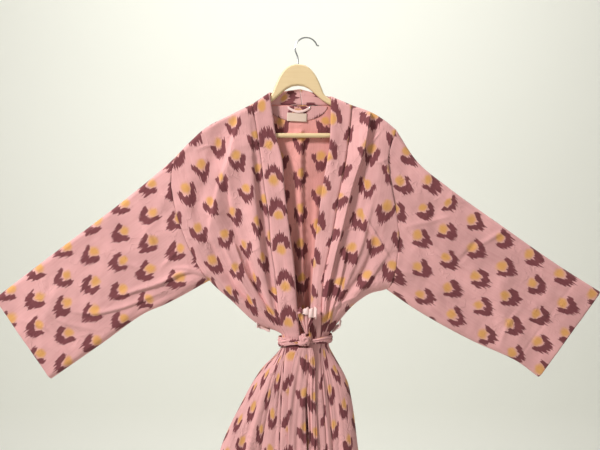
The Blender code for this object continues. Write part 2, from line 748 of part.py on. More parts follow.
def add_bow(knot_at):
    """The bow: one loop of the strip that stands up from the top of the knot."""
    knot_top = knot_at[2] + KNOT_HALF[2] - BOW_SUNK
    turn = np.linspace(-0.5, 1.5, 19) * math.pi
    turn = turn[1:-1]
    rise = (1 + np.sin(turn)) / 2
    depth = BOW_DEPTH * np.cos(turn) * (0.25 + 0.75 * np.sqrt(rise))
    rows = []
    for place in (-0.5, -0.25, 0.0, 0.25, 0.5):
        x = BOW_X + place * (BOW_FOOT + BOW_SPREAD * rise) + BOW_LEAN * rise
        y = knot_at[1] - BOW_IN_FRONT - depth
        z = knot_top + BOW_HEIGHT * rise * (1 - BOW_SIDE_DROP * abs(place) - BOW_SLANT * place)
        rows.append(np.stack([x, y, z], -1))
    add_cloth("belt_bow", np.array(rows), BELT_CLOTH, PINK)


def add_tails(knot_at, front_y):
    """The two ends of the belt, hanging from under the knot and opening out."""
    Tail = namedtuple("Tail", "name x_top x_bottom half_top half_bottom bottom")
    tails = (
        Tail("belt_tail_left", -11.0, -20.0, 7.0, 16.5, -1120.0),
        Tail("belt_tail_right", 5.0, 12.0, 5.0, 8.0, -1155.0),
    )
    across = np.array((-1.0, -0.5, 0.0, 0.5, 1.0))
    for tail in tails:
        top = knot_at[2] - KNOT_HALF[2] - TAIL_BELOW_KNOT
        down = np.linspace(0, 1, 15) ** 1.5
        z = top + (tail.bottom - top) * down
        open_out = 1 - np.exp(-down * TAIL_OPENS)
        middle = tail.x_top + (tail.x_bottom - tail.x_top) * open_out
        half = tail.half_top + (tail.half_bottom - tail.half_top) * open_out
        x = middle[:, None] + half[:, None] * across
        body = read_table(BODY_DEPTHS, "z", "half", z) + BAND_CLOTH / 2 + BELT_CLOTH / 2
        start = front_y - TAIL_IN_FRONT
        y = start + (-(body + TAIL_OFF_BAND) - start) * np.clip(down * TAIL_SETTLES, 0, 1)
        y = y[:, None] + TAIL_RIPPLE * np.cos(across * 5.0) * open_out[:, None]
        cloth = np.stack([x, y, z[:, None] * np.ones_like(across)], -1)
        add_cloth(tail.name, cloth, BELT_CLOTH, PINK)


def add_belt():
    """The belt round the waist, its knot, its crumpled bow and its two tails."""
    front_y = belt_front()
    knot_at = np.array((KNOT_X, front_y - KNOT_HALF[1] - LAYER_GAP, KNOT_Z))
    add_belt_wrap()
    add_knot(knot_at)
    add_bow(knot_at)
    add_tails(knot_at, front_y)


def add_belt_loops():
    """A small cloth loop on each side seam, just above the belt."""
    Loop = namedtuple("Loop", "name side v_top v_bottom out")
    loops = (
        Loop("belt_loop_left", LEFT_SIDE, 1.62, 1.76, -11.0),
        Loop("belt_loop_right", RIGHT_SIDE, 1.77, 1.87, 11.0),
    )
    across = np.array((-0.5, 0.0, 0.5))[None] * BELT_LOOP_WIDTH
    sweep = np.linspace(0, 1, 11)
    for loop in loops:
        top, bottom = edge_points(loop.side, np.array((loop.v_top, loop.v_bottom)))
        x = top[0] + (bottom[0] - top[0]) * sweep
        z = top[1] + (bottom[1] - top[1]) * sweep
        run = (bottom - top) / np.linalg.norm(bottom - top)
        away = np.array((run[1], -run[0])) if loop.out < 0 else np.array((-run[1], run[0]))
        seat = CLOTH / 2 + LAYER_GAP + TRIM_CLOTH / 2 + BELT_LOOP_OFF_SEAM
        x = x + away[0] * seat + loop.out * np.sin(math.pi * sweep) ** 0.8
        z = z + away[1] * seat
        cloth = np.stack(np.broadcast_arrays(x[:, None], across, z[:, None]), -1)
        add_cloth(loop.name, cloth, TRIM_CLOTH, PINK)


def curve_object(name, material, dimensions):
    """An empty curve object of the robe's hanger."""
    data = bpy.data.curves.new(name, "CURVE")
    data.dimensions = dimensions
    return add_object(name, data, material)


def add_hanger():
    """The flat wooden hanger, its round bar and its wire hook."""
    Corner = namedtuple("Corner", "out z")
    half_outline = (
        Corner(0.0, WOOD_TOP),
        Corner(9.0, -55.4),
        Corner(18.0, -58.5),
        Corner(27.0, -65.0),
        Corner(36.0, -76.0),
        Corner(44.0, -91.0),
        Corner(50.0, -105.0),
        Corner(56.0, -118.5),
        Corner(65.0, -126.0),
        Corner(94.7, -141.0),
        Corner(ARM_REACH - 12, -189.5),
        Corner(ARM_REACH - 4, -195.5),
        Corner(ARM_REACH + 1, -206.0),
        Corner(ARM_REACH - 5, -215.0),
        Corner(ARM_REACH - 16, -218.0),
        Corner(ARM_REACH - 30, -214.5),
        Corner(ARM_REACH - 30, -196.0),
        Corner(60.0, -136.5),
        Corner(0.0, -99.3),
    )
    wood = principled("hanger_body", BIRCH, 0.45)
    body = curve_object("hanger_body", wood, "2D")
    body.data.fill_mode = "BOTH"
    body.data.extrude = (HANGER_THICK / 2 - HANGER_ROUND) * MM
    body.data.bevel_depth = HANGER_ROUND * MM
    body.data.bevel_resolution = 2
    body.data.offset = -HANGER_ROUND * MM
    corners = [(HANGER_X + corner.out, corner.z) for corner in half_outline]
    corners += [(HANGER_X - corner.out, corner.z) for corner in half_outline[-2:0:-1]]
    spline = body.data.splines.new("POLY")
    spline.points.add(len(corners) - 1)
    for point, (x, z) in zip(spline.points, corners):
        point.co = (x * MM, z * MM, 0, 1)
    spline.use_cyclic_u = True
    body.rotation_euler = (math.pi / 2, 0, 0)

    mesh = bpy.data.meshes.new("hanger_bar")
    build = bmesh.new()
    bmesh.ops.create_cone(build, cap_ends=True, segments=20, radius1=BAR_DIAMETER / 2 * MM,
                          radius2=BAR_DIAMETER / 2 * MM, depth=2 * BAR_HALF * MM)
    build.to_mesh(mesh)
    build.free()
    mesh.shade_smooth()
    mesh.set_sharp_from_angle(angle=math.radians(40))
    bar = add_object("hanger_bar", mesh, principled("hanger_bar", BIRCH, 0.4))
    bar.location = (HANGER_X * MM, 0, BAR_Z * MM)
    bar.rotation_euler = (0, math.pi / 2, 0)

    hook = curve_object("hanger_hook", principled("hanger_hook", STEEL, 0.25, 1.0), "3D")
    hook.data.bevel_depth = HOOK_WIRE / 2 * MM
    hook.data.bevel_resolution = 2
    hook.data.use_fill_caps = True
    centre_z = HOOK_WIRE / 2 - HOOK_RADIUS
    route = [(27.0, -15.2), (24.6, -15.4)]
    for angle in np.radians(np.linspace(18, 180, 15)):
        route.append((HOOK_RADIUS * math.cos(angle), centre_z + HOOK_RADIUS * math.sin(angle)))
    route += [(-22.6, -27.0), (-20.2, -32.5), (-18.2, -38.0), (HANGER_X, -44.0),
              (HANGER_X, WOOD_TOP + LAYER_GAP)]
    spline = hook.data.splines.new("POLY")
    spline.points.add(len(route) - 1)
    for point, (x, z) in zip(spline.points, route):
        point.co = (x * MM, 0, z * MM, 1)


add_back()
add_front("front_left", LEFT_SIDE, LEFT_SEAM, LEFT_SHOULDER[:0:-1])
add_front("front_right", RIGHT_SIDE, RIGHT_SEAM, RIGHT_SHOULDER[:0:-1])
add_sleeve("sleeve_left", LEFT_SIDE, LEFT_SLEEVE_TOP, LEFT_SLEEVE_UNDER)
add_sleeve("sleeve_right", RIGHT_SIDE, RIGHT_SLEEVE_TOP, RIGHT_SLEEVE_UNDER)
add_band("band_left", LEFT_SEAM, LEFT_FREE, -SEAM_GAP / 2)
add_band("band_right", RIGHT_SEAM, RIGHT_FREE, SEAM_GAP / 2)
add_neck_trims()
add_belt()
add_belt_loops()
add_hanger()
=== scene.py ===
"""A kimono robe of ikat cotton, hung open on a flat birch hanger: its looks.

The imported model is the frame. Sizes are in millimetres unless a name says
otherwise, and are turned to metres where points are made. The robe hangs in the
XZ plane with +Z up and its front toward -Y, and its hook's crook is the origin.
"""

import math
from collections import namedtuple
from functools import partial

import bmesh
import bpy
import numpy as np
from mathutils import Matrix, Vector, noise


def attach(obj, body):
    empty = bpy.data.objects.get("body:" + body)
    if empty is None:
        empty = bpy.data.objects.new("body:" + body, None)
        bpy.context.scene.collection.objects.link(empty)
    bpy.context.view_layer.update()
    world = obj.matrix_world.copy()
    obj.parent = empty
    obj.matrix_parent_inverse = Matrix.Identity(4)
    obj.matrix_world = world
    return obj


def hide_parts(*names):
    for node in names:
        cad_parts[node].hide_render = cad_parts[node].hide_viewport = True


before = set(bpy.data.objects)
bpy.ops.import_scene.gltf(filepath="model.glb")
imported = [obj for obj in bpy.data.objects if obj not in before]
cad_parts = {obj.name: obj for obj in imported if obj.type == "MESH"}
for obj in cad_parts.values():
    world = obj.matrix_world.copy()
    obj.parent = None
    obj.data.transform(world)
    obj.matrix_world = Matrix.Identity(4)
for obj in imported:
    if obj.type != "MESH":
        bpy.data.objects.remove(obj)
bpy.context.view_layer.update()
MM = 0.001


# The view: level with the robe's chest and square to its front, from 1.4 m away.

VIEW_DISTANCE = 1.4
VIEW_AT_X = -0.013
VIEW_AT_Z = -0.392
view_lens = bpy.data.cameras.new("View")
view_lens.lens = 40
view_lens.sensor_width = 36
view = bpy.data.objects.new("View", view_lens)
view.location = (VIEW_AT_X, -VIEW_DISTANCE, VIEW_AT_Z)
view.rotation_euler = (math.radians(90), 0, 0)
bpy.context.scene.collection.objects.link(view)
bpy.context.scene.camera = view
bpy.context.scene.view_settings.view_transform = "Standard"


# The studio: one sheet of matt paper that comes down far behind the robe and runs
# forward as a pale floor. A lamp high on the left lights the robe, a weak one fills
# in from the front, and two more light the robe's back and the paper.

def linear(hex_colour):
    """An sRGB hex colour as the linear colour that a shader takes."""
    channels = [int(hex_colour[at:at + 2], 16) / 255 for at in (1, 3, 5)]
    return tuple(c / 12.92 if c <= 0.04045 else ((c + 0.055) / 1.055) ** 2.4
                 for c in channels) + (1.0,)


def add_node(tree, kind, *inputs, **settings):
    """Add a shader node, set it, fill its inputs in order and give its first output."""
    node = tree.nodes.new("ShaderNode" + kind)
    for name, value in settings.items():
        setattr(node, name, value)
    for socket, value in zip(node.inputs, inputs):
        if isinstance(value, bpy.types.NodeSocket):
            tree.links.new(value, socket)
        elif value is not None:
            socket.default_value = value
    return node.outputs[0] if node.outputs else node


def new_material(name, roughness, specular=0.5):
    """A node material with only a Principled shader, its tree's adder and shader."""
    material = bpy.data.materials.new(name)
    material.use_nodes = True
    tree = material.node_tree
    shader = tree.nodes["Principled BSDF"]
    shader.inputs["Roughness"].default_value = roughness
    shader.inputs["Specular IOR Level"].default_value = specular
    return material, partial(add_node, tree), shader


def finish(shader, **sockets):
    """Link sockets to a shader's inputs, whose names have spaces for underscores."""
    for name, socket in sockets.items():
        shader.id_data.links.new(socket, shader.inputs[name.replace("_", " ")])


def paper():
    """Matt background paper: its fine tooth only breaks up the light a little."""
    material, put, shader = new_material("Matt paper", 0.95, 0.2)
    tooth = put("TexNoise", put("TexCoord").node.outputs["Object"], None, 400.0, 3.0)
    finish(shader, Base_Color=put("MixRGB", tooth, linear("#E9EBE4"), linear("#EFF0EA")))
    return material


FLOOR_Z = -2.4
PAPER_FRONT = -9.0
PAPER_BEHIND = 3.8
PAPER_TOP = 6.0
PAPER_BEND = 0.6
PAPER_HALF_WIDTH = 9.0
bend = [math.radians(angle) for angle in range(0, 91, 6)]
profile = [(PAPER_FRONT, FLOOR_Z)]
profile += [(PAPER_BEHIND - PAPER_BEND + PAPER_BEND * math.sin(a),
             FLOOR_Z + PAPER_BEND - PAPER_BEND * math.cos(a)) for a in bend]
profile.append((PAPER_BEHIND, PAPER_TOP))
sheet_mesh = bpy.data.meshes.new("Backdrop")
sheet_points = [(x, y, z) for y, z in profile for x in (-PAPER_HALF_WIDTH, PAPER_HALF_WIDTH)]
sheet_faces = [(i, i + 1, i + 3, i + 2) for i in range(0, 2 * len(profile) - 2, 2)]
sheet_mesh.from_pydata(sheet_points, [], sheet_faces)
sheet_mesh.shade_smooth()
sheet_mesh.materials.append(paper())
backdrop = bpy.data.objects.new("Backdrop", sheet_mesh)
bpy.context.scene.collection.objects.link(backdrop)

Lamp = namedtuple("Lamp", "name place aim size watts colour")
LAMPS = (
    Lamp("Window", (-2.3, -2.0, 1.6), (0.0, 0.0, -0.45), 0.8, 135.0, "#FFFDFA"),
    Lamp("Fill", (1.3, -2.7, -0.1), (0.0, 0.0, -0.5), 1.6, 5.5, "#FFF1E8"),
    Lamp("Behind", (0.6, 2.6, 1.6), (0.0, 0.0, -0.6), 2.4, 22.0, "#FFFFFF"),
    Lamp("Paper wash", (0.0, 0.7, 2.6), (0.1, 3.8, 0.6), 3.6, 104.0, "#FFFFFA"),
)
for lamp in LAMPS:
    light = bpy.data.lights.new(lamp.name, "AREA")
    light.shape = "DISK"
    light.size = lamp.size
    light.energy = lamp.watts
    light.color = linear(lamp.colour)[:3]
    item = bpy.data.objects.new(lamp.name, light)
    item.location = lamp.place
    item.rotation_euler = (Vector(lamp.aim) - Vector(lamp.place)).to_track_quat("-Z", "Y").to_euler()
    bpy.context.scene.collection.objects.link(item)

world = bpy.data.worlds.new("Room")
world.use_nodes = True
world.node_tree.nodes["Background"].inputs["Color"].default_value = linear("#F4ECE4")
world.node_tree.nodes["Background"].inputs["Strength"].default_value = 0.3
bpy.context.scene.world = world


# The hanger: a flat head and two arms sawn from birch and rounded over, a turned
# birch bar let into the arms, and a polished steel wire hook screwed into the head.

def birch():
    """Birch, sanded and clear lacquered: pale cream, with fine darker lines that run
    along the arms and a soft shine."""
    material, put, shader = new_material("Birch, clear lacquered", 0.42)
    shader.inputs["Coat Weight"].default_value = 0.25
    shader.inputs["Coat Roughness"].default_value = 0.3
    place = put("TexCoord").node.outputs["Object"]
    grain_size = put("Mapping", place, (0, 0, 0), (0, 0, 0), (18.0, 240.0, 330.0))
    grain = put("TexNoise", grain_size, None, 1.0, 5.0, 0.6)
    cloud = put("TexNoise", place, None, 26.0, 2.0)
    tone = put("MixRGB", grain, linear("#D9B984"), linear("#F0DBB4"))
    tone = put("MixRGB", cloud, tone, linear("#E9D0A2"))
    finish(shader, Base_Color=tone, Normal=put("Bump", 0.25, 0.0002, None, grain))
    return material


HANGER_X = -17.4
HANGER_THICK = 12.0
HANGER_ROUND = 4.2
ARM_REACH = 200.0
WOOD_TOP = -54.6
Corner = namedtuple("Corner", "out z")
HALF_HANGER = (
    Corner(0.0, WOOD_TOP),
    Corner(9.0, -55.4),
    Corner(18.0, -58.5),
    Corner(27.0, -65.0),
    Corner(36.0, -76.0),
    Corner(44.0, -91.0),
    Corner(50.0, -105.0),
    Corner(56.0, -118.5),
    Corner(65.0, -126.0),
    Corner(94.7, -141.0),
    Corner(ARM_REACH - 12, -189.5),
    Corner(ARM_REACH - 4, -195.5),
    Corner(ARM_REACH + 1, -206.0),
    Corner(ARM_REACH - 5, -215.0),
    Corner(ARM_REACH - 16, -218.0),
    Corner(ARM_REACH - 30, -214.5),
    Corner(ARM_REACH - 30, -196.0),
    Corner(60.0, -136.5),
    Corner(0.0, -99.3),
)
BIRCH_MATERIAL = birch()


def dress(item, slot, *nodes):
    """A piece rides with the robe, and stands for its solids."""
    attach(item, "root")
    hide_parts(*nodes)


hanger_curve = bpy.data.curves.new("Hanger", "CURVE")
hanger_curve.dimensions = "2D"
hanger_curve.fill_mode = "BOTH"
hanger_curve.extrude = (HANGER_THICK / 2 - HANGER_ROUND) * MM
hanger_curve.bevel_depth = HANGER_ROUND * MM
hanger_curve.bevel_resolution = 5
hanger_curve.offset = -HANGER_ROUND * MM
hanger_curve.resolution_u = 6
corners = [(HANGER_X + c.out, c.z) for c in HALF_HANGER]
corners += [(HANGER_X - c.out, c.z) for c in HALF_HANGER[-2:0:-1]]
spline = hanger_curve.splines.new("BEZIER")
spline.bezier_points.add(len(corners) - 1)
for point, (x, z) in zip(spline.bezier_points, corners):
    point.co = (x * MM, z * MM, 0)
    point.handle_left_type = point.handle_right_type = "AUTO"
spline.use_cyclic_u = True
hanger_curve.materials.append(BIRCH_MATERIAL)
hanger = bpy.data.objects.new("Hanger", hanger_curve)
hanger.rotation_euler = (math.pi / 2, 0, 0)
bpy.context.scene.collection.objects.link(hanger)
dress(hanger, "wood", "hanger_body")


def bright_steel():
    """Drawn steel wire, zinc plated and polished: a cool grey mirror with faint
    lines left by the die."""
    material, put, shader = new_material("Steel wire, zinc plated", 0.26)
    shader.inputs["Metallic"].default_value = 1.0
    place = put("TexCoord").node.outputs["Object"]
    lines = put("TexNoise", place, None, 900.0, 2.0)
    tone = put("MixRGB", lines, linear("#A9ABAE"), linear("#C3C5C8"))
    finish(shader, Base_Color=tone, Roughness=put("MapRange", lines, 0.0, 1.0, 0.2, 0.34))
    return material


for node, coat in (("hanger_bar", BIRCH_MATERIAL), ("hanger_hook", bright_steel())):
    for material_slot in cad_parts[node].material_slots:
        material_slot.material = coat


# The robe's form: the cut edges of its panels as they hang, and how thick it hangs.
# The panels are cut from one length of plain-woven cotton whose warp was bound and
# dyed in steps before weaving, so each motif's edges are drawn out along the warp.

Edge = namedtuple("Edge", "v x z")
LEFT_SIDE = (
    Edge(0.00, -273.6, -248.9),
    Edge(0.20, -282.0, -301.0),
    Edge(0.42, -272.0, -360.0),
    Edge(0.62, -254.7, -412.7),
    Edge(0.82, -232.0, -463.0),
    Edge(1.00, -203.0, -508.0),
    Edge(1.30, -156.2, -551.0),
    Edge(1.65, -97.2, -602.0),
    Edge(1.86, -59.0, -616.0),
    Edge(1.93, -51.0, -622.5),
    Edge(2.00, -51.0, -634.0),
    Edge(2.016, -51.0, -646.0),
    Edge(2.03, -58.0, -657.0),
    Edge(2.08, -94.7, -695.5),
    Edge(2.165, -132.1, -759.2),
    Edge(2.30, -180.4, -864.2),
    Edge(3.00, -296.7, -1393.0),
)
LEFT_SEAM = (
    Edge(0.00, -112.1, -138.0),
    Edge(0.19, -102.7, -194.3),
    Edge(0.37, -94.7, -247.8),
    Edge(0.60, -86.7, -314.8),
    Edge(0.80, -77.3, -376.5),
    Edge(1.00, -73.3, -435.3),
    Edge(1.27, -65.1, -488.9),
    Edge(1.57, -59.4, -549.2),
    Edge(1.84, -53.0, -601.7),
    Edge(1.93, -43.0, -622.5),
    Edge(2.00, -42.0, -634.0),
    Edge(2.016, -42.0, -646.0),
    Edge(2.06, -46.0, -680.0),
    Edge(2.30, -55.0, -864.0),
    Edge(3.00, -62.0, -1393.0),
)
LEFT_FREE = (
    Edge(0.00, -76.4, -113.5),
    Edge(0.24, -62.6, -207.7),
    Edge(0.42, -49.1, -261.2),
    Edge(0.60, -45.2, -314.8),
    Edge(0.87, -35.7, -395.2),
    Edge(1.20, -25.0, -475.7),
    Edge(1.57, -19.5, -549.2),
    Edge(1.93, -13.5, -622.5),
    Edge(2.00, -13.0, -634.0),
    Edge(2.016, -13.0, -646.0),
    Edge(2.30, -15.0, -864.0),
    Edge(3.00, -22.0, -1393.0),
)
RIGHT_FREE = (
    Edge(0.00, 51.9, -122.0),
    Edge(0.24, 49.8, -206.9),
    Edge(0.60, 33.8, -314.0),
    Edge(1.00, 17.9, -435.8),
    Edge(1.57, 9.9, -549.2),
    Edge(1.93, 5.5, -622.5),
    Edge(2.00, 5.0, -634.0),
    Edge(2.016, 5.0, -646.0),
    Edge(2.30, 3.0, -864.0),
    Edge(3.00, 8.0, -1393.0),
)
RIGHT_SEAM = (
    Edge(0.00, 95.6, -140.7),
    Edge(0.27, 87.6, -221.1),
    Edge(0.45, 79.4, -274.7),
    Edge(0.63, 68.7, -328.2),
    Edge(0.82, 60.7, -381.8),
    Edge(1.00, 50.0, -435.3),
    Edge(1.35, 36.0, -505.0),
    Edge(1.67, 32.0, -570.2),
    Edge(1.93, 30.5, -622.5),
    Edge(2.00, 30.0, -634.0),
    Edge(2.016, 30.0, -646.0),
    Edge(2.30, 42.0, -864.0),
    Edge(3.00, 48.0, -1393.0),
)
RIGHT_SIDE = (
    Edge(0.00, 188.4, -192.2),
    Edge(0.19, 170.5, -255.2),
    Edge(0.39, 179.3, -322.4),
    Edge(0.65, 192.6, -410.6),
    Edge(0.85, 188.0, -474.0),
    Edge(1.00, 168.0, -526.0),
    Edge(1.25, 138.0, -534.0),
    Edge(1.50, 106.3, -553.4),
    Edge(1.80, 65.0, -598.0),
    Edge(1.88, 54.0, -613.0),
    Edge(1.93, 47.0, -622.5),
    Edge(2.00, 47.0, -634.0),
    Edge(2.016, 47.0, -646.0),
    Edge(2.03, 53.0, -657.0),
    Edge(2.13, 90.1, -733.1),
    Edge(2.30, 109.0, -864.2),
    Edge(3.00, 165.3, -1393.0),
)
Spot = namedtuple("Spot", "x z")
LEFT_SHOULDER = (
    Spot(-76.4, -113.5),
    Spot(-112.1, -138.0),
    Spot(-151.8, -157.7),
    Spot(-209.4, -187.3),
    Spot(-241.5, -215.5),
    Spot(-273.6, -248.9),
)
RIGHT_SHOULDER = (
    Spot(51.9, -122.0),
    Spot(95.6, -140.7),
    Spot(135.9, -155.4),
    Spot(165.0, -173.0),
    Spot(188.4, -192.2),
)
LEFT_SLEEVE_TOP = (
    Spot(-273.6, -248.9),
    Spot(-293.8, -267.8),
    Spot(-402.2, -356.2),
    Spot(-522.7, -446.5),
    Spot(-651.6, -545.0),
)
LEFT_SLEEVE_UNDER = (
    Spot(-203.0, -508.0),
    Spot(-297.8, -559.0),
    Spot(-333.9, -574.0),
    Spot(-430.0, -641.0),
    Spot(-534.7, -713.8),
)
RIGHT_SLEEVE_TOP = (
    Spot(188.4, -192.2),
    Spot(233.7, -259.8),
    Spot(295.9, -311.6),
    Spot(420.4, -400.9),
    Spot(524.4, -473.6),
    Spot(615.7, -531.7),
)
RIGHT_SLEEVE_UNDER = (
    Spot(168.0, -526.0),
    Spot(217.1, -560.7),
    Spot(279.3, -598.1),
    Spot(349.9, -635.3),
    Spot(441.2, -677.0),
    Spot(487.0, -710.2),
)
Depth = namedtuple("Depth", "z half rounding")
BODY_DEPTHS = (
    Depth(-1393.0, 32.0, 60.0),
    Depth(-1100.0, 27.0, 55.0),
    Depth(-864.0, 24.0, 52.0),
    Depth(-720.0, 22.0, 50.0),
    Depth(-634.0, 21.0, 48.0),
    Depth(-580.0, 20.0, 38.0),
    Depth(-508.0, 16.0, 22.0),
    Depth(-400.0, 13.0, 14.0),
    Depth(-300.0, 11.0, 10.0),
    Depth(-190.0, 9.0, 7.5),
    Depth(-105.0, 9.0, 7.0),
)


def smooth(knots, values, at):
    """Read a table at any place on a cubic that doesn't overshoot its rows."""
    knots = np.asarray(knots, float)
    values = np.asarray(values, float)
    gaps = np.diff(knots)
    slopes = np.diff(values) / gaps
    tangents = np.zeros_like(values)
    tangents[0] = slopes[0]
    tangents[-1] = slopes[-1]
    for row in range(1, len(knots) - 1):
        before, after = slopes[row - 1], slopes[row]
        if before * after > 0:
            tangents[row] = 2 * before * after / (before + after)
    at = np.clip(at, knots[0], knots[-1])
    row = np.clip(np.searchsorted(knots, at, side="right") - 1, 0, len(knots) - 2)
    t = (at - knots[row]) / gaps[row]
    start = (1 + 2 * t) * (1 - t) ** 2 * values[row]
    start_tangent = t * (1 - t) ** 2 * gaps[row] * tangents[row]
    end = t ** 2 * (3 - 2 * t) * values[row + 1]
    end_tangent = t ** 2 * (t - 1) * gaps[row] * tangents[row + 1]
    return start + start_tangent + end + end_tangent


def read_table(table, by, column, at):
    """One named column of a table, read smoothly at a place in another column."""
    knots = [getattr(row, by) for row in table]
    values = [getattr(row, column) for row in table]
    return smooth(knots, values, at)


def edge_points(table, v):
    """Points (x, z) on a cut edge at the places v down the robe."""
    v = np.asarray(v, float)
    return np.stack([read_table(table, "v", "x", v), read_table(table, "v", "z", v)], -1)


def along(spots, at):
    """Points along a row of spots, in the plane or in space, at fractions of its
    length."""
    line = np.array([tuple(spot) for spot in spots], float)
    lengths = np.linalg.norm(np.diff(line, axis=0), axis=1)
    reached = np.concatenate([[0], np.cumsum(lengths)]) / lengths.sum()
    return np.stack([smooth(reached, values, at) for values in line.T], -1)


def outline_lines():
    """The robe's closed edges: over the shoulders and sleeves, and up the sides."""
    fine = np.linspace(0, 1, 41)
    side = np.linspace(1, 3, 81)
    lines = []
    for shoulder, top in ((LEFT_SHOULDER, LEFT_SLEEVE_TOP), (RIGHT_SHOULDER, RIGHT_SLEEVE_TOP)):
        neck = np.array([shoulder[0]])
        lines.append(np.vstack([neck, along(shoulder[1:], fine), along(top, fine)[1:]]))
    for edge, under in ((LEFT_SIDE, LEFT_SLEEVE_UNDER), (RIGHT_SIDE, RIGHT_SLEEVE_UNDER)):
        lines.append(np.vstack([along(under, fine)[::-1], edge_points(edge, side)[1:]]))
    return lines


def beside(points, line):
    """How far points (x, z) lie from a line: the gap, its side and the place along."""
    gap = np.full(points.shape[:-1], np.inf)
    side = np.zeros_like(gap)
    place = np.zeros_like(gap)
    reached = 0.0
    for start, end in zip(line[:-1], line[1:]):
        run = end - start
        length = float(np.hypot(*run))
        if length < 1e-6:
            continue
        away = points - start
        t = np.clip((away @ run) / length ** 2, 0, 1)
        here = np.linalg.norm(away - t[..., None] * run, axis=-1)
        closer = here < gap
        cross = (run[0] * away[..., 1] - run[1] * away[..., 0]) / length
        side = np.where(closer, cross, side)
        place = np.where(closer, reached + t * length, place)
        gap = np.where(closer, here, gap)
        reached += length
    return gap, side, place / reached


OUTLINE = outline_lines()


def inset(points):
    """How far each point (x, z) lies from the robe's outline."""
    return np.min([beside(points, line)[0] for line in OUTLINE], axis=0)


# The back: two halves sewn down the middle, here one shell from armhole to armhole
# and down to the hem. It is hollowed at the neck, and drawn in by the belt so that
# it falls in soft pleats.

SHELL = 0.7
SEAM_GAP = 0.4
SHOULDER_ROWS = 9
Span = namedtuple("Span", "start end rows")
SPANS_DOWN = (
    Span(0.05, 1, 146),
    Span(1, 1.93, 66),
    Span(1.93, 2.05, 11),
    Span(2.05, 2.45, 56),
    Span(2.45, 3, 46),
)


def rows_down():
    """Rows down the robe: close where the cloth turns over the shoulder, then even
    to the underarm, the belt, the belt's lower edge, the skirt's middle and the hem."""
    turn = np.linspace(0, 1, SHOULDER_ROWS) ** 2 * SPANS_DOWN[0].start
    return np.concatenate([turn] + [np.linspace(*span)[1:] for span in SPANS_DOWN])


ROWS = rows_down()
WAIST_ROW = int(np.searchsorted(ROWS, 1.97))

Crease = namedtuple("Crease", "path width rise lean tuck")
Ramp = namedtuple("Ramp", "path width_top width_end rise rise_end drop")
PATH_POINTS = 25


def crease_push(points, creases):
    """How far creases push points (x, z) out, and how much cloth their tucks hide."""
    push = np.zeros(points.shape[:-1])
    hidden = np.zeros(points.shape[:-1])
    for crease in creases:
        line = along(crease.path, np.linspace(0, 1, PATH_POINTS))
        gap, side, place = beside(points, line)
        swell = np.sin(np.pi * np.clip(place, 0.03, 0.97)) ** 0.6
        width = crease.width * (1 + crease.lean * np.sign(side))
        push += crease.rise * swell * np.exp(-(gap / width) ** 2)
        hidden += crease.tuck * np.sin(np.pi * place) * np.tanh(side / (0.4 * crease.width)) / 2
    return push, hidden


def ramp_push(points, ramps):
    """How far folded-over strips push points out: each slopes up to its edge, on its
    left if its width is positive, and drops off steeply beyond."""
    push = np.zeros(points.shape[:-1])
    for ramp in ramps:
        line = along(ramp.path, np.linspace(0, 1, PATH_POINTS))
        _, side, place = beside(points, line)
        width = ramp.width_top + (ramp.width_end - ramp.width_top) * place
        slope = np.clip(1 + side / width, 0, 1)
        beyond = np.clip(side * np.sign(width), 0, None)
        ends = np.clip(np.minimum(place, 1 - place) * 14, 0, 1)
        rise = ramp.rise + (ramp.rise_end - ramp.rise) * place
        push += rise * slope * np.exp(-(beyond / ramp.drop) ** 2) * np.sqrt(ends)
    return push


def rumple(points, size, seed):
    """Soft unevenness of hanging cotton, as waves about as wide as size."""
    flat = points.reshape(-1, 2) / size
    wave = [noise.noise(Vector((x, z, seed))) for x, z in flat]
    return np.array(wave).reshape(points.shape[:-1])


def pleats(fraction, count, uneven, seed):
    """Round-topped pleats with narrow valleys, uneven in width and height."""
    shift = uneven * (np.sin(2 * math.pi * fraction * 1.7 + seed)
                      + 0.6 * np.sin(2 * math.pi * fraction * 3.9 + 2.1 * seed))
    phase = count * fraction + shift
    pleat = np.floor(phase + 0.5)
    height = 0.75 + 0.25 * np.sin(2.3 * pleat + seed)
    return height * np.abs(np.cos(math.pi * phase)) - 0.6, phase


def form_depth(points):
    """Half the robe's depth at points (x, z), and how far each is from its edges."""
    z = points[..., 1]
    half = read_table(BODY_DEPTHS, "z", "half", z)
    rounding = read_table(BODY_DEPTHS, "z", "rounding", z)
    near = np.clip(inset(points) / rounding, 0, 1)
    return half * np.sqrt(1 - (1 - near) ** 2), near


def spread(points, count):
    """Set each row's columns evenly by length along the cloth."""
    depth = form_depth(points)[0]
    cloth = np.stack([points[..., 0], depth, points[..., 1]], -1)
    reached = np.cumsum(np.linalg.norm(np.diff(cloth, axis=1), axis=2), axis=1)
    reached = np.insert(reached, 0, 0, axis=1)
    rows = []
    for row, length in zip(points, reached):
        at = np.linspace(0, length[-1], count)
        rows.append(np.stack([np.interp(at, length, row[:, 0]),
                              np.interp(at, length, row[:, 1])], -1))
    return np.array(rows)


GRAIN_REACH = 400.0


def grain_map(points, line):
    """Distances across and along a grain line, drawn out straight past both its
    ends: the cloth's own flat coordinates."""
    line = along(line, np.linspace(0, 1, 40))
    start = line[0] - (line[1] - line[0]) / np.linalg.norm(line[1] - line[0]) * GRAIN_REACH
    end = line[-1] + (line[-1] - line[-2]) / np.linalg.norm(line[-1] - line[-2]) * GRAIN_REACH
    line = np.vstack([start, line, end])
    total = np.linalg.norm(np.diff(line, axis=0), axis=1).sum()
    gap, side, place = beside(points, line)
    return np.sign(side) * gap, place * total - GRAIN_REACH


def steps(grid, axis):
    """Lengths of a grid's steps from point to point, along one of its axes."""
    return np.linalg.norm(np.diff(grid, axis=axis), axis=2)


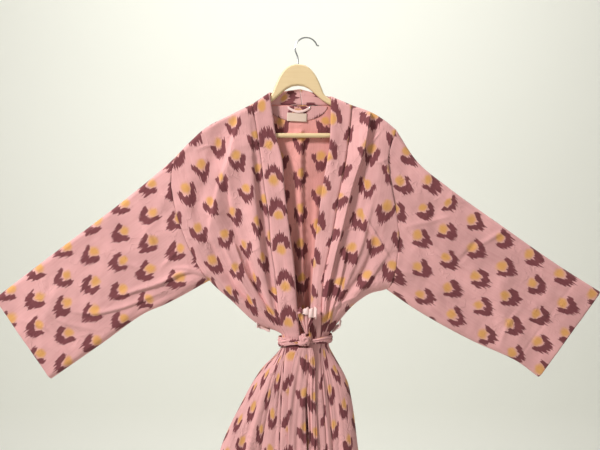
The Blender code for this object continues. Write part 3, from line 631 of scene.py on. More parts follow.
def extra_length(cloth, points, axis):
    """Cloth taken up by folds: length in space less length in the flat, summed."""
    extra = steps(cloth, axis) - steps(points, axis)
    return np.insert(np.cumsum(extra, axis=axis), 0, 0, axis=axis)


MOST_HIDDEN = 0.85


def cloth_map(cloth, points, grain, width, phase, count):
    """The cloth's flat coordinates in mm: by its grain above the belt, and by the
    pleats below, where only each pleat's crown shows and the rest is hidden."""
    across, down = grain_map(points, grain)
    middle = points.shape[1] // 2
    extra = extra_length(cloth, points, 1)
    across = across + extra - extra[:, middle:middle + 1]
    down = down + extra_length(cloth, points, 0)
    fraction = np.linspace(0, 1, points.shape[1])[None, :]
    shown = steps(cloth, 1).sum(axis=1)[:, None]
    hidden = np.clip(1 - shown / width, 0, MOST_HIDDEN)
    below = width * (fraction - hidden / count * np.sin(2 * math.pi * phase) / (2 * math.pi))
    length = np.insert(np.cumsum(steps(cloth, 0), axis=0), 0, 0, axis=0)
    length = length - length[WAIST_ROW] + down[WAIST_ROW].mean()
    skirt = (np.arange(len(ROWS)) > WAIST_ROW)[:, None]
    return np.where(skirt, below, across), np.where(skirt, length, down)


def add_cloth(name, cloth, across, down, thickness, material, tube=False):
    """Make a grid of points into a cloth shell that carries its own flat map."""
    rows, columns = cloth.shape[:2]
    mesh = bpy.data.meshes.new(name)
    build = bmesh.new()
    flat = build.loops.layers.uv.new("Cloth")
    points = [[build.verts.new(point * MM) for point in row] for row in cloth]
    for row in range(rows - 1):
        for column in range(columns if tube else columns - 1):
            after = column + 1
            around = after % columns
            corners = ((row, column, column), (row + 1, column, column),
                       (row + 1, around, after), (row, around, after))
            face = build.faces.new([points[r][c] for r, c, _ in corners])
            face.smooth = True
            for loop, (r, _, c) in zip(face.loops, corners):
                loop[flat].uv = (across[r][c] * MM, down[r][c] * MM)
    build.to_mesh(mesh)
    build.free()
    mesh.materials.append(material)
    item = bpy.data.objects.new(name, mesh)
    bpy.context.scene.collection.objects.link(item)
    wall = item.modifiers.new("Wall", "SOLIDIFY")
    wall.thickness = thickness * MM
    wall.offset = 0.0
    return item


WARP_REPEAT = 74.0
COLUMN_SPACING = 48.0
CRESCENT_HALF = 20.0
DOT_RISE = 5.0
DOT_REACH = 14.5
DOT_CORE = 4.5
TOOTH_WIDTH = 2.5
TOOTH_LENGTH = 27.0


def ikat_cotton(name, ground_deep, ground_pale):
    """Ikat: plain-woven cotton whose warp was resist dyed, in maroon crescents and
    soft orange dots on pink. The threads slip as they are beaten in, so each motif
    ends in fine teeth along the warp, and the matt surface has only a faint sheen."""
    material, put, shader = new_material(name, 0.86, 0.25)
    shader.inputs["Sheen Weight"].default_value = 0.15
    shader.inputs["Sheen Roughness"].default_value = 0.5
    in_mm = put("VectorMath", put("UVMap", uv_map="Cloth"), (1000.0,) * 3, operation="MULTIPLY")

    # Teeth along the warp, and a slow drift that keeps the rows from being even.
    threads = put("VectorMath", in_mm, (1 / TOOTH_WIDTH, 1 / 70, 1.0), operation="MULTIPLY")
    teeth = put("TexNoise", threads, None, 1.0, 1.0, noise_dimensions="2D")
    wander = put("TexNoise", in_mm, None, 1 / 19, 1.0, noise_dimensions="2D").node.outputs["Color"]
    wander = put("VectorMath", wander, (0.5,) * 3, operation="SUBTRACT")
    moved = put("VectorMath", wander, (7.0, 8.0, 0.0), in_mm, operation="MULTIPLY_ADD")
    across = put("SeparateXYZ", moved)
    down = across.node.outputs["Y"]
    jag = put("Math", put("Math", teeth, 0.5, operation="SUBTRACT"), TOOTH_LENGTH,
              operation="MULTIPLY")

    crescents, dots = [], []
    for drop in (0.0, 0.5):
        # Cells of every other column, and each cell's own chances for its motif.
        column = put("Math", across, 1 / (2 * COLUMN_SPACING), drop + 0.5, operation="MULTIPLY_ADD")
        row = put("Math", down, 1 / WARP_REPEAT, drop + 0.5, operation="MULTIPLY_ADD")
        cell = put("CombineXYZ", put("Math", column, operation="FLOOR"),
                   put("Math", row, operation="FLOOR"), drop)
        chance = put("TexWhiteNoise", cell, noise_dimensions="3D").node.outputs["Color"]
        chance = put("VectorMath", chance, (0.5,) * 3, operation="SUBTRACT")
        chances = put("SeparateXYZ", chance)
        in_cell = put("Math", put("Math", column, operation="FRACT"), 0.5, operation="SUBTRACT")
        x = put("Math", in_cell, 2 * COLUMN_SPACING, operation="MULTIPLY")
        in_cell = put("Math", put("Math", row, operation="FRACT"), 0.5, operation="SUBTRACT")
        y = put("Math", in_cell, -WARP_REPEAT, operation="MULTIPLY")
        skew = put("Math", chances, 5.0, operation="MULTIPLY")
        middle = put("Math", x, skew, operation="ADD")

        # The crescent: its lower edge curves up to the arms, its upper edge dips
        # between them, and it ends where the arms end.
        arm = put("Math", middle, operation="ABSOLUTE")
        lean = put("Math", x, put("Math", chances, 0.45, operation="MULTIPLY"), y,
                   operation="MULTIPLY_ADD")
        rise = put("Math", lean, jag, operation="ADD")
        bow = put("Math", chances.node.outputs["Y"], 1.2, 2.3, operation="MULTIPLY_ADD")
        curve = put("Math", put("Math", arm, CRESCENT_HALF, operation="DIVIDE"), bow, operation="POWER")
        lower = put("Math", rise, put("Math", curve, 25.0, -29.0, operation="MULTIPLY_ADD"),
                    operation="SUBTRACT")
        tilt = put("Math", x, put("Math", chances.node.outputs["Z"], 0.5, operation="MULTIPLY"),
                   operation="MULTIPLY")
        inner = put("Math", put("MapRange", arm, 5.5, 12.5, -8.5, 6.0), tilt, operation="ADD")
        upper = put("Math", put("Math", inner, lean, operation="SUBTRACT"),
                    put("Math", jag, 0.5, operation="MULTIPLY"), operation="SUBTRACT")
        beyond = put("Math", CRESCENT_HALF, arm, operation="SUBTRACT")
        edges = put("Math", lower, upper, operation="MINIMUM")
        edges = put("Math", edges, beyond, operation="MINIMUM")
        crescents.append(put("MapRange", edges, -0.7, 1.0, 0.0, 1.0))

        # The dot between the arms, with a soft edge.
        dot_rise = put("Math", put("Math", jag, 0.12, y, operation="MULTIPLY_ADD"), DOT_RISE,
                       operation="SUBTRACT")
        dot_at = put("CombineXYZ", middle, dot_rise, 0.0)
        reach = put("VectorMath", dot_at, operation="LENGTH").node.outputs["Value"]
        size = put("Math", chances.node.outputs["Z"], 2.5, DOT_REACH, operation="MULTIPLY_ADD")
        dots.append(put("MapRange", reach, size, DOT_CORE, 0.0, 1.0, interpolation_type="SMOOTHSTEP"))
    crescent = put("Math", *crescents, operation="MAXIMUM")
    dot = put("Math", *dots, operation="MAXIMUM")

    # Uneven dye: fine streaks along the warp and wide, faint clouds.
    streak_size = put("VectorMath", in_mm, (1 / 2.6, 1 / 140, 1.0), operation="MULTIPLY")
    streaks = put("TexNoise", streak_size, None, 1.0, 3.0, noise_dimensions="2D")
    cloud = put("TexNoise", in_mm, None, 1 / 90, 2.0, noise_dimensions="2D")
    ground = put("MixRGB", streaks, linear(ground_deep), linear(ground_pale))
    cloud = put("MapRange", cloud, 0.35, 0.65, 0.88, 1.04)
    ground = put("VectorMath", ground, put("CombineXYZ", cloud, cloud, cloud), operation="MULTIPLY")
    orange = put("MixRGB", streaks, linear("#D4944B"), linear("#DFAB60"))
    maroon = put("MixRGB", streaks, linear("#5C252E"), linear("#7D3D43"))
    dyed = put("MixRGB", put("Math", dot, 0.9, operation="MULTIPLY"), ground, orange)
    dyed = put("MixRGB", put("Math", crescent, 0.94, operation="MULTIPLY"), dyed, maroon)

    # The weave's threads, soft crumples, and the crisp lines of old folds.
    warp = put("VectorMath", in_mm, (1 / 0.9, 1 / 18, 1.0), operation="MULTIPLY")
    weft = put("VectorMath", in_mm, (1 / 18, 1 / 0.9, 1.0), operation="MULTIPLY")
    warp = put("TexNoise", warp, None, 1.0, 1.0, noise_dimensions="2D")
    weft = put("TexNoise", weft, None, 1.0, 1.0, noise_dimensions="2D")
    weave = put("Math", warp, weft, operation="ADD")
    crumple = put("TexNoise", in_mm, None, 1 / 24, 3.0, 0.5, noise_dimensions="2D")
    where = put("TexNoise", in_mm, None, 1 / 60, 1.0, noise_dimensions="2D")
    bent = put("VectorMath", wander, (60.0, 60.0, 0.0), in_mm, operation="MULTIPLY_ADD")
    lines = put("TexNoise", bent, None, 1 / 75, 1.0, noise_dimensions="2D")
    lines = put("Math", put("Math", lines, 0.5, operation="SUBTRACT"), operation="ABSOLUTE")
    lines = put("MapRange", lines, 0.0, 0.035, 1.0, 0.0, interpolation_type="SMOOTHSTEP")
    lines = put("Math", lines, put("MapRange", where, 0.42, 0.6, 0.0, 1.0), operation="MULTIPLY")
    soft = put("Bump", 0.6, 0.0022, None, crumple)
    crisp = put("Bump", 0.55, 0.0012, None, lines, soft)
    finish(shader, Base_Color=dyed, Normal=put("Bump", 0.2, 0.0003, None, weave, crisp))
    return material


IKAT = ikat_cotton("Ikat cotton, plain weave", "#DA9F9F", "#E6B1B0")
# The back's inside is a warmer, deeper pink copy of the print: painted warm shade and bounced light in
# the robe's opening, not a dye of its own.
IKAT_INSIDE_PAINTED_SHADE = ikat_cotton("Ikat cotton, inside the back, painted warm shade", "#DF9791", "#EDA8A2")
BACK_COLUMNS = 140
BACK_PLEATS = 7
BACK_WIDTH = 620.0
BACK_GRAIN = (Spot(-8, -140), Spot(-8, -400), Spot(-4, -620))
NECK_MIDDLE = Spot(-8.2, -139.4)
BACK_CREASES = (
    Crease(((-30, -200), (-26, -360), (-18, -560)), 10, 3.5, 0.2, 4),
    Crease(((14, -300), (10, -430), (6, -590)), 8, 3.0, -0.2, 4),
    Crease(((-160, -185), (-190, -300), (-205, -440)), 16, 5.5, 0.4, 0),
    Crease(((110, -195), (128, -320), (130, -450)), 16, 5.0, -0.4, 0),
    Crease(((-95, -330), (-72, -450), (-48, -560)), 10, -4.0, 0.3, 6),
    Crease(((70, -330), (52, -450), (34, -560)), 10, -4.0, -0.3, 6),
    Crease(((-190, -470), (-120, -540), (-62, -600)), 11, 4.5, 0.4, 6),
    Crease(((150, -470), (95, -540), (52, -604)), 11, 4.5, -0.4, 6),
    Crease(((-140, -400), (-95, -500), (-50, -590)), 9, 3.5, 0.2, 4),
    Crease(((-30, -420), (-22, -520), (-16, -600)), 7, 3.0, 0.2, 4),
    Crease(((30, -440), (22, -530), (14, -604)), 7, 3.0, -0.2, 4),
    Crease(((-220, -330), (-150, -345), (-60, -330)), 9, -1.8, 0.3, 0),
    Crease(((-260, -1010), (-110, -1022), (120, -1008)), 5, -1.6, 0.3, 0),
    Crease(((-8, -450), (-5, -530), (-4, -606)), 20, -12.0, 0.0, 0),
    Crease(((-190, -765), (-60, -772), (100, -762)), 5, -1.5, -0.3, 0),
)
BACK_RAMPS = (
    Ramp(((-9, -190), (-10, -300), (-8, -420), (-5, -560)), 34.0, 16.0, -9.0, -8.0, 2.4),
    Ramp(((22, -330), (18, -450), (10, -580)), -16.0, -8.0, -4.0, -4.0, 2.4),
)


PleatDepth = namedtuple("PleatDepth", "v depth")
FINE_GATHERS = (
    PleatDepth(1.0, 0),
    PleatDepth(1.4, 1.2),
    PleatDepth(1.8, 4.6),
    PleatDepth(1.9, 4.0),
    PleatDepth(2.03, 4.0),
    PleatDepth(2.08, 4.8),
    PleatDepth(2.14, 2.6),
    PleatDepth(2.25, 0.6),
    PleatDepth(2.6, 0.0),
)
DEEP_PLEATS = (
    PleatDepth(1.1, 0),
    PleatDepth(1.8, 3.0),
    PleatDepth(1.9, 2.0),
    PleatDepth(2.03, 2.0),
    PleatDepth(2.1, 6.0),
    PleatDepth(2.3, 9.5),
    PleatDepth(3.0, 13.0),
)
FINE_COLUMNS = 61
BEND_ENDS = 0.6


def gathered(near, columns, count, seed):
    """Gathers of the waist: many fine ones by the belt, and fewer, deeper pleats
    lower down. Gives the push and the pleats' phase."""
    fraction = np.linspace(0, 1, columns)[None, :] * np.ones((len(ROWS), 1))
    sway = 0.012 * np.sin(ROWS * 5.0 + seed)[:, None]
    coarse, phase = pleats(fraction + sway, count, 0.16, seed)
    fine, _ = pleats(fraction, count * 2 + 1, 0.4, seed + 1.3)
    fine_depth = np.interp(ROWS, *zip(*FINE_GATHERS))[:, None]
    deep = np.interp(ROWS, *zip(*DEEP_PLEATS))[:, None]
    room = np.clip(near * 1.3, 0, 1)
    return (coarse * deep + fine * fine_depth) * room, phase


def half_grid(side, seam, shoulder):
    """Straight rows from a side edge to a seam, bent near the top so that the first
    follows the shoulder."""
    fine = np.linspace(0, 1, FINE_COLUMNS)
    line = along(shoulder[:0:-1], fine)
    bend = line - (line[0] + (line[-1] - line[0]) * fine[:, None])
    fade = (np.clip(1 - ROWS / BEND_ENDS, 0, 1) ** 2)[:, None, None]
    return side[:, None] + (seam - side)[:, None] * fine[None, :, None] + bend[None] * fade


def add_back():
    """The back's grid, from side to side, with its neck hollowed."""
    left_neck, right_neck = edge_points(LEFT_SEAM, ROWS), edge_points(RIGHT_SEAM, ROWS)
    left_half = half_grid(edge_points(LEFT_SIDE, ROWS), left_neck, LEFT_SHOULDER)
    right_half = half_grid(edge_points(RIGHT_SIDE, ROWS), right_neck, RIGHT_SHOULDER)
    middle = (left_neck + right_neck) / 2
    middle[0] = NECK_MIDDLE
    across = np.linspace(0, 1, 41)[None, 1:, None]
    parts = [left_half, left_neck[:, None] + (middle - left_neck)[:, None] * across,
             (right_neck[:, None] + (middle - right_neck)[:, None] * across)[:, -2::-1],
             right_half[:, ::-1]]
    points = spread(np.concatenate(parts, axis=1), BACK_COLUMNS)
    depth, near = form_depth(points)
    push, hidden = crease_push(points, BACK_CREASES)
    gathers, phase = gathered(near, BACK_COLUMNS, BACK_PLEATS, 0.7)
    push = push + gathers + ramp_push(points, BACK_RAMPS)
    push = push + 1.6 * rumple(points, 46.0, 1.0) + 0.9 * rumple(points, 19.0, 2.0)
    depth = np.maximum(depth + push * near, SHELL)
    cloth = np.stack([points[..., 0], depth, points[..., 1]], -1)
    across, down = cloth_map(cloth, points, BACK_GRAIN, BACK_WIDTH, phase, BACK_PLEATS)
    # The back's inner face takes the warmer copy of the print, which is painted warm shade.
    item = add_cloth("Back", cloth, across + hidden, down, SHELL, IKAT_INSIDE_PAINTED_SHADE)
    item.data.materials.append(IKAT)
    item.modifiers["Wall"].material_offset = 1
    return item


back = add_back()
dress(back, "ikat_cotton", "back_left", "back_right")


# The fronts: two open panels, sewn to the back at the shoulders and sides, with
# long slack folds that fall from the shoulders to the belt.

FRONT_COLUMNS = 140
BAND_SEAM_DEPTH = 2.0
BAND_SEAM_HALF = 2.6
ARMHOLE_DEPTH = 0.7
ARMHOLE_HALF = 2.2
Front = namedtuple("Front", "name node side seam shoulder grain width pleats seed flat shift")


def add_front(front, creases, ramps):
    """One front, from its side and armhole to the seam of the neck band."""
    outer, inner = edge_points(front.side, ROWS), edge_points(front.seam, ROWS)
    inward = (inner - outer) / np.linalg.norm(inner - outer, axis=1, keepdims=True)
    inner = inner - inward * SEAM_GAP / 2
    points = spread(half_grid(outer, inner, front.shoulder), FRONT_COLUMNS)
    depth, near = form_depth(points)
    push, hidden = crease_push(points, creases)
    gathers, phase = gathered(near, FRONT_COLUMNS, front.pleats, front.seed)
    push = push + gathers + ramp_push(points, ramps)
    push = push + 1.6 * rumple(points, 44.0, front.seed) + 0.9 * rumple(points, 18.0, 7.0)
    seam = np.linalg.norm(points - inner[:, None], axis=-1)
    push = push - BAND_SEAM_DEPTH * np.exp(-(seam / BAND_SEAM_HALF) ** 2)
    armhole = np.linalg.norm(points - outer[:, None], axis=-1)
    sewn = (ROWS <= 1)[:, None]
    push = push - ARMHOLE_DEPTH * np.exp(-(armhole / ARMHOLE_HALF) ** 2) * sewn
    depth = -np.maximum(depth + push * near, SHELL)
    cloth = np.stack([points[..., 0], depth, points[..., 1]], -1)
    across, down = cloth_map(cloth, points, front.grain, front.width, phase, front.pleats)
    item = add_cloth(front.name, cloth, across + hidden + front.shift[0], down + front.shift[1],
                     SHELL, IKAT)
    dress(item, "ikat_cotton", front.node)


LEFT_FRONT_CREASES = (
    Crease(((-160, -158), (-178, -210), (-196, -260), (-216, -318), (-232, -400)), 17, -6.0, 0.0, 8),
    Crease(((-138, -158), (-148, -203), (-161, -253), (-183, -318), (-202, -408)), 17, 10.0, 0.72, 10),
    Crease(((-172, -262), (-160, -356), (-143, -417), (-118, -467), (-97, -530), (-74, -572),
            (-55, -614)), 11, -8.0, -0.6, 8),
    Crease(((-119, -170), (-113, -260), (-106, -340), (-98, -420), (-86, -500), (-62, -604)), 13, 8.5,
           -0.55, 10),
    Crease(((-105, -230), (-97, -300), (-89, -380), (-81, -450), (-72, -520), (-58, -606)), 8, -7.0,
           -0.2, 8),
    Crease(((-252, -300), (-238, -380), (-205, -455)), 15, 5.0, -0.3, 0),
    Crease(((-236, -440), (-190, -500), (-110, -575), (-62, -612)), 7, 7.5, 0.5, 8),
    Crease(((-216, -400), (-172, -480), (-110, -560), (-58, -612)), 7, -6.0, -0.3, 8),
    Crease(((-178, -420), (-140, -500), (-96, -566), (-54, -610)), 6, 7.5, 0.4, 4),
    Crease(((-128, -450), (-104, -520), (-60, -600)), 4, -5.0, -0.3, 6),
    Crease(((-178, -238), (-206, -226), (-232, -236)), 3, 1.6, 0.4, 0),
    Crease(((-134, -440), (-112, -446), (-96, -438)), 2.5, 1.6, 0.4, 0),
    Crease(((-232, -352), (-206, -372), (-176, -366)), 3, 1.4, 0.4, 0),
    Crease(((-172, -762), (-120, -768), (-66, -760)), 3, -1.8, 0.3, 0),
    Crease(((-250, -1080), (-150, -1092), (-64, -1085)), 5, -2.0, -0.3, 0),
)
LEFT_FRONT_RAMPS = (
    Ramp(((-150, -430), (-122, -500), (-84, -560), (-56, -606)), 16.0, 6.0, 6.0, 5.0, 2.0),
)
add_front(Front("Front_left", "front_left", LEFT_SIDE, LEFT_SEAM, LEFT_SHOULDER,
                (Spot(-186, -180), Spot(-160, -300), Spot(-112, -420), Spot(-56, -560)),
                205.0, 2, 0.4, (0.225, 1.24), (-34.0, -12.0)), LEFT_FRONT_CREASES, LEFT_FRONT_RAMPS)
RIGHT_FRONT_CREASES = (
    Crease(((140, -175), (126, -237), (108, -300), (88, -382), (70, -462)), 15, -4.0, 0.3, 8),
    Crease(((122, -369), (133, -392), (150, -420), (173, -459)), 2.6, 3.6, -0.3, 3),
    Crease(((118, -375), (140, -420), (160, -455)), 9, -3.0, -0.3, 0),
    Crease(((148, -180), (156, -290), (150, -420)), 24, 5.0, 0.2, 0),
    Crease(((157, -258), (165, -270), (171.6, -282)), 2.6, 2.6, 0.2, 0),
    Crease(((136, -221), (145, -210), (152.7, -202)), 2.6, 2.2, 0.2, 0),
    Crease(((78, -404), (110, -396), (134, -412)), 2.6, 2.4, 0.2, 0),
    Crease(((50, -564), (90, -546), (136, -532)), 3, 4.0, -0.3, 3),
    Crease(((58, -590), (80, -574), (104, -568)), 2.6, 3.2, -0.3, 2),
    Crease(((176, -440), (130, -505), (70, -580)), 8, 5.0, -0.4, 6),
    Crease(((150, -400), (128, -470), (84, -540), (50, -596)), 8, -5.0, 0.3, 6),
    Crease(((140, -330), (116, -430), (84, -510), (50, -590)), 7, 4.0, -0.3, 4),
    Crease(((120, -250), (150, -262), (176, -250)), 4, 1.6, 0.2, 0),
    Crease(((56, -752), (80, -758), (100, -750)), 3, -1.6, 0.3, 0),
    Crease(((56, -1070), (100, -1082), (140, -1074)), 5, -1.8, 0.3, 0),
)
RIGHT_FRONT_RAMPS = (
    Ramp(((134, -152), (120, -234), (95, -313), (76, -392), (56, -471), (41, -549), (37, -606)),
         36.0, 9.0, 16.0, 8.0, 2.2),
    Ramp(((84, -440), (70, -510), (52, -570), (44, -606)), 14.0, 6.0, 5.0, 5.0, 1.8),
)
add_front(Front("Front_right", "front_right", RIGHT_SIDE, RIGHT_SEAM, RIGHT_SHOULDER,
                (Spot(140, -180), Spot(128, -320), Spot(92, -440), Spot(42, -600)),
                128.0, 2, 2.1, (0.15, 1.22), (0.0, 10.0)), RIGHT_FRONT_CREASES, RIGHT_FRONT_RAMPS)


# The sleeves: wide straight tubes folded along the top, sewn into the armholes, with
# a deep turned-up hem stitched round each open cuff.

SLEEVE_COLUMNS = 100
SLEEVE_RINGS = 150
CUFF_HALF_DEPTH = 8.0
CUFF_ROUNDING = 11.0
CUFF_HEM = 58.0
CUFF_HEM_DEPTH = 1.1
Sleeve = namedtuple("Sleeve", "name node side top under flat")


def add_sleeve(sleeve, front_creases, back_creases):
    """One sleeve, a flattened tube from the armhole to the open cuff."""
    across = (1 - np.cos(np.linspace(0, math.pi, SLEEVE_COLUMNS))) / 2
    across = 0.5 * across + 0.5 * np.linspace(0, 1, SLEEVE_COLUMNS)
    down = np.linspace(0, 1, SLEEVE_RINGS)
    armhole = edge_points(sleeve.side, across)
    cuff_top = np.array(sleeve.top[-1])
    cuff_under = np.array(sleeve.under[-1])
    cuff = cuff_top + (cuff_under - cuff_top) * across[:, None]
    upper, lower = along(sleeve.top, down), along(sleeve.under, down)
    run = armhole[None] + (cuff - armhole)[None] * down[:, None, None]
    bend_top = (upper - run[:, 0])[:, None]
    bend_under = (lower - run[:, -1])[:, None]
    share = across[None, :, None]
    points = run + bend_top * (1 - share) + bend_under * share
    body_half = read_table(BODY_DEPTHS, "z", "half", armhole[:, 1])
    body_rounding = read_table(BODY_DEPTHS, "z", "rounding", armhole[:, 1])
    settle = np.sqrt(down)[:, None]
    half = body_half + (CUFF_HALF_DEPTH - body_half) * settle
    rounding = body_rounding + (CUFF_ROUNDING - body_rounding) * settle
    near = np.clip(inset(points) / rounding, 0, 1)
    half = half * np.sqrt(1 - (1 - near) ** 2)
    middle = SLEEVE_COLUMNS // 2
    turn_flat, down_flat = grain_map(points, points[:, middle])
    faces = []
    for face, creases in ((-1, front_creases), (1, back_creases)):
        push, hidden = crease_push(points, creases)
        push = push + 1.9 * rumple(points, 50.0, 3.0 + face) + 1.0 * rumple(points, 20.0, 5.0 + face)
        sewn = np.linalg.norm(points - points[:1], axis=-1)
        push = push - ARMHOLE_DEPTH * np.exp(-(sewn / ARMHOLE_HALF) ** 2)
        to_cuff = np.linalg.norm(points - points[-1:], axis=-1)
        push = push - CUFF_HEM_DEPTH * np.exp(-((to_cuff - CUFF_HEM) / 2.6) ** 2)
        depth = np.maximum(half + push * near, SHELL) * face
        depth[:, (0, -1)] = 0
        cloth = np.stack([points[..., 0], depth, points[..., 1]], -1)
        extra = extra_length(cloth, points, 1)
        turn = turn_flat + (extra - extra[:, middle:middle + 1]) * np.sign(turn_flat[:1, -1:])
        length = down_flat + extra_length(cloth, points, 0)
        faces.append((cloth, turn + hidden, length))
    (front, front_turn, front_down), (behind, behind_turn, behind_down) = faces
    fold = front_turn[:, :1]
    behind_turn = 2 * fold - behind_turn
    cloth = np.concatenate([front[:, ::-1], behind[:, 1:-1]], axis=1)
    across = np.concatenate([front_turn[:, ::-1], behind_turn[:, 1:]], axis=1)
    down = np.concatenate([front_down[:, ::-1], behind_down[:, 1:]], axis=1)
    item = add_cloth(sleeve.name, cloth, across, down, SHELL, IKAT, tube=True)
    dress(item, "ikat_cotton", sleeve.node)


LEFT_SLEEVE_CREASES = (
    Crease(((-402, -545), (-356, -530), (-309, -516), (-242, -490), (-208, -499)), 4.5, 6.0, 0.5, 5),
    Crease(((-278, -484), (-258, -482), (-238, -484), (-208, -499)), 3.5, 4.0, 0.3, 3),
    Crease(((-269, -442), (-286, -464), (-305, -482)), 3.5, 2.6, 0.3, 0),
    Crease(((-494, -574), (-450, -578), (-402, -570), (-294, -530)), 4.5, 4.0, 0.5, 4),
    Crease(((-345, -389), (-328, -412), (-318, -438)), 4, 2.4, 0.2, 0),
    Crease(((-560, -560), (-500, -598), (-430, -612)), 5, 2.4, 0.3, 0),
    Crease(((-420, -430), (-380, -470), (-330, -488)), 4, 2.0, 0.3, 0),
    Crease(((-600, -590), (-540, -610), (-500, -650)), 4, 2.0, 0.3, 0),
    Crease(((-250, -300), (-300, -345), (-340, -430)), 12, 2.4, 0.2, 0),
    Crease(((-224, -520), (-300, -545), (-388, -600)), 8, -3.0, 0.2, 3),
    Crease(((-480, -470), (-520, -530), (-560, -640)), 12, 1.8, 0.2, 0),
)
LEFT_SLEEVE_BEHIND = (
    Crease(((-420, -560), (-330, -520), (-230, -490)), 11, 4.5, 0.3, 4),
    Crease(((-500, -520), (-440, -470), (-380, -420)), 13, 3.0, 0.2, 0),
    Crease(((-330, -380), (-310, -450), (-250, -500)), 11, 3.0, 0.3, 0),
    Crease(((-540, -600), (-460, -610), (-360, -570)), 10, 3.0, 0.3, 2),
)
add_sleeve(Sleeve("Sleeve_left", "sleeve_left", LEFT_SIDE, LEFT_SLEEVE_TOP, LEFT_SLEEVE_UNDER,
                  (0.48, 0.44)), LEFT_SLEEVE_CREASES, LEFT_SLEEVE_BEHIND)
RIGHT_SLEEVE_CREASES = (
    Crease(((354, -440), (390, -418), (420, -402)), 4, 3.0, 0.3, 0),
    Crease(((358, -419), (338, -448), (312, -474)), 5, -2.6, 0.2, 0),
    Crease(((300, -373), (250, -386), (205, -394)), 4, 3.2, 0.3, 0),
    Crease(((186, -486), (240, -500), (320, -560)), 4.5, 3.6, 0.3, 3),
    Crease(((260, -430), (300, -470), (360, -490)), 4, 2.2, 0.3, 0),
    Crease(((450, -560), (420, -600), (400, -650)), 5, 2.0, 0.3, 0),
    Crease(((178, -508), (240, -545), (330, -612)), 8, -3.0, 0.2, 3),
    Crease(((430, -470), (400, -540), (410, -620)), 14, 2.2, 0.2, 0),
    Crease(((520, -520), (470, -570), (440, -640)), 13, 2.0, 0.2, 0),
    Crease(((196, -300), (240, -330), (300, -350)), 12, 2.2, 0.2, 0),
)
RIGHT_SLEEVE_BEHIND = (
    Crease(((220, -500), (300, -530), (380, -580)), 12, 4.0, 0.3, 3),
    Crease(((300, -400), (380, -450), (450, -520)), 13, 3.0, 0.2, 0),
    Crease(((200, -330), (230, -420), (200, -490)), 12, 3.0, 0.2, 0),
)
add_sleeve(Sleeve("Sleeve_right", "sleeve_right", RIGHT_SIDE, RIGHT_SLEEVE_TOP,
                  RIGHT_SLEEVE_UNDER, (0.50, 0.46)), RIGHT_SLEEVE_CREASES, RIGHT_SLEEVE_BEHIND)


# The neck band: one strip folded double along its free edge, sewn on up each front
# and round the back of the neck, with the print turned the other way up.

BAND_THICK = 2.4
BAND_BEHIND = 0.86
NECK_MIDDLE_TOP = Spot(-13.0, -105.0)
BAND_ACROSS = 12
BAND_SHELL = 0.3
Band = namedtuple("Band", "name node seam free middle_gap creases start shift")


def add_band(band):
    """Half the neck band as a flat tube: front layer, folded edge, layer behind."""
    sewn, loose = edge_points(band.seam, ROWS), edge_points(band.free, ROWS)
    toward = (loose - sewn) / np.linalg.norm(loose - sewn, axis=1, keepdims=True)
    sewn = sewn + toward * SEAM_GAP / 2
    to_middle = np.linspace(0, 1, 34)[1:, None]
    neck = sewn[0] + (np.array(NECK_MIDDLE) - sewn[0]) * to_middle
    neck[:, 1] += SEAM_GAP / 2
    top = loose[0] + (np.array(NECK_MIDDLE_TOP) - loose[0]) * to_middle
    neck[-1, 0] += band.middle_gap
    top[-1, 0] += band.middle_gap
    sewn = np.vstack([sewn[::-1], neck])
    loose = np.vstack([loose[::-1], top])
    turn = np.linspace(0, 1, BAND_ACROSS)
    points = sewn[:, None] + (loose - sewn)[:, None] * turn[None, :, None]
    face = np.where(np.arange(len(sewn)) < len(ROWS), -1.0, 1.0)[:, None]
    depth, near = form_depth(points)
    push, _ = crease_push(points, band.creases)
    push = push * (face < 0)
    wave = 0.8 * rumple(points, 30.0, 9.0) + 0.5 * rumple(points, 13.0, 4.0)
    ridge = 0.9 * np.exp(-((turn - 0.12) / 0.08) ** 2)
    middle = face * (depth + (push + wave) * near)
    middle[len(ROWS) - 1] = 0
    plump = np.sqrt(np.clip(1 - (2 * turn - 1) ** 8, 0.04, 1)) + ridge / BAND_THICK
    layers = []
    for layer in (-1, 1):
        plumpness = BAND_BEHIND if layer > 0 else 1.0
        y = middle + layer * plump[None] * BAND_THICK / 2 * plumpness
        layers.append(np.stack([points[..., 0], y, points[..., 1]], -1))
    cloth = np.concatenate([layers[0], layers[1][:, ::-1]], axis=1)
    length = np.insert(np.cumsum(np.linalg.norm(np.diff(sewn, axis=0), axis=1)), 0, 0)
    width = np.linalg.norm(loose - sewn, axis=1)[:, None]
    across = (turn[None] - 0.5) * width + band.shift
    around = [across, width - across[:, ::-1], -across[:, :1] + 2 * width]
    across = np.concatenate(around, axis=1)
    down = np.repeat(length[:, None] + band.start, across.shape[1], axis=1)
    item = add_cloth(band.name, cloth, across, down, BAND_SHELL, IKAT, tube=True)
    dress(item, "ikat_cotton", band.node)


LEFT_BAND_CREASES = (
    Crease(((-66, -150), (-52, -250), (-40, -380)), 9, 1.8, 0.3, 0),
    Crease(((-44, -430), (-34, -520), (-24, -604)), 6, 2.2, 0.3, 0),
)
RIGHT_BAND_CREASES = (
    Crease(((60, -170), (52, -260), (42, -360)), 8, 2.0, 0.3, 0),
    Crease(((34, -430), (22, -520), (16, -604)), 6, 2.2, 0.3, 0),
)
add_band(Band("Band_left", "band_left", LEFT_SEAM, LEFT_FREE, -SEAM_GAP / 2,
              LEFT_BAND_CREASES, 5.0, 0.0))
add_band(Band("Band_right", "band_right", RIGHT_SEAM, RIGHT_FREE, SEAM_GAP / 2,
              RIGHT_BAND_CREASES, 34.0, -19.0))


# Inside the neck: a half-moon patch of the same cotton that covers the back seam, a
# small woven label sewn on by its ends and left bare, and a narrow hanging loop.

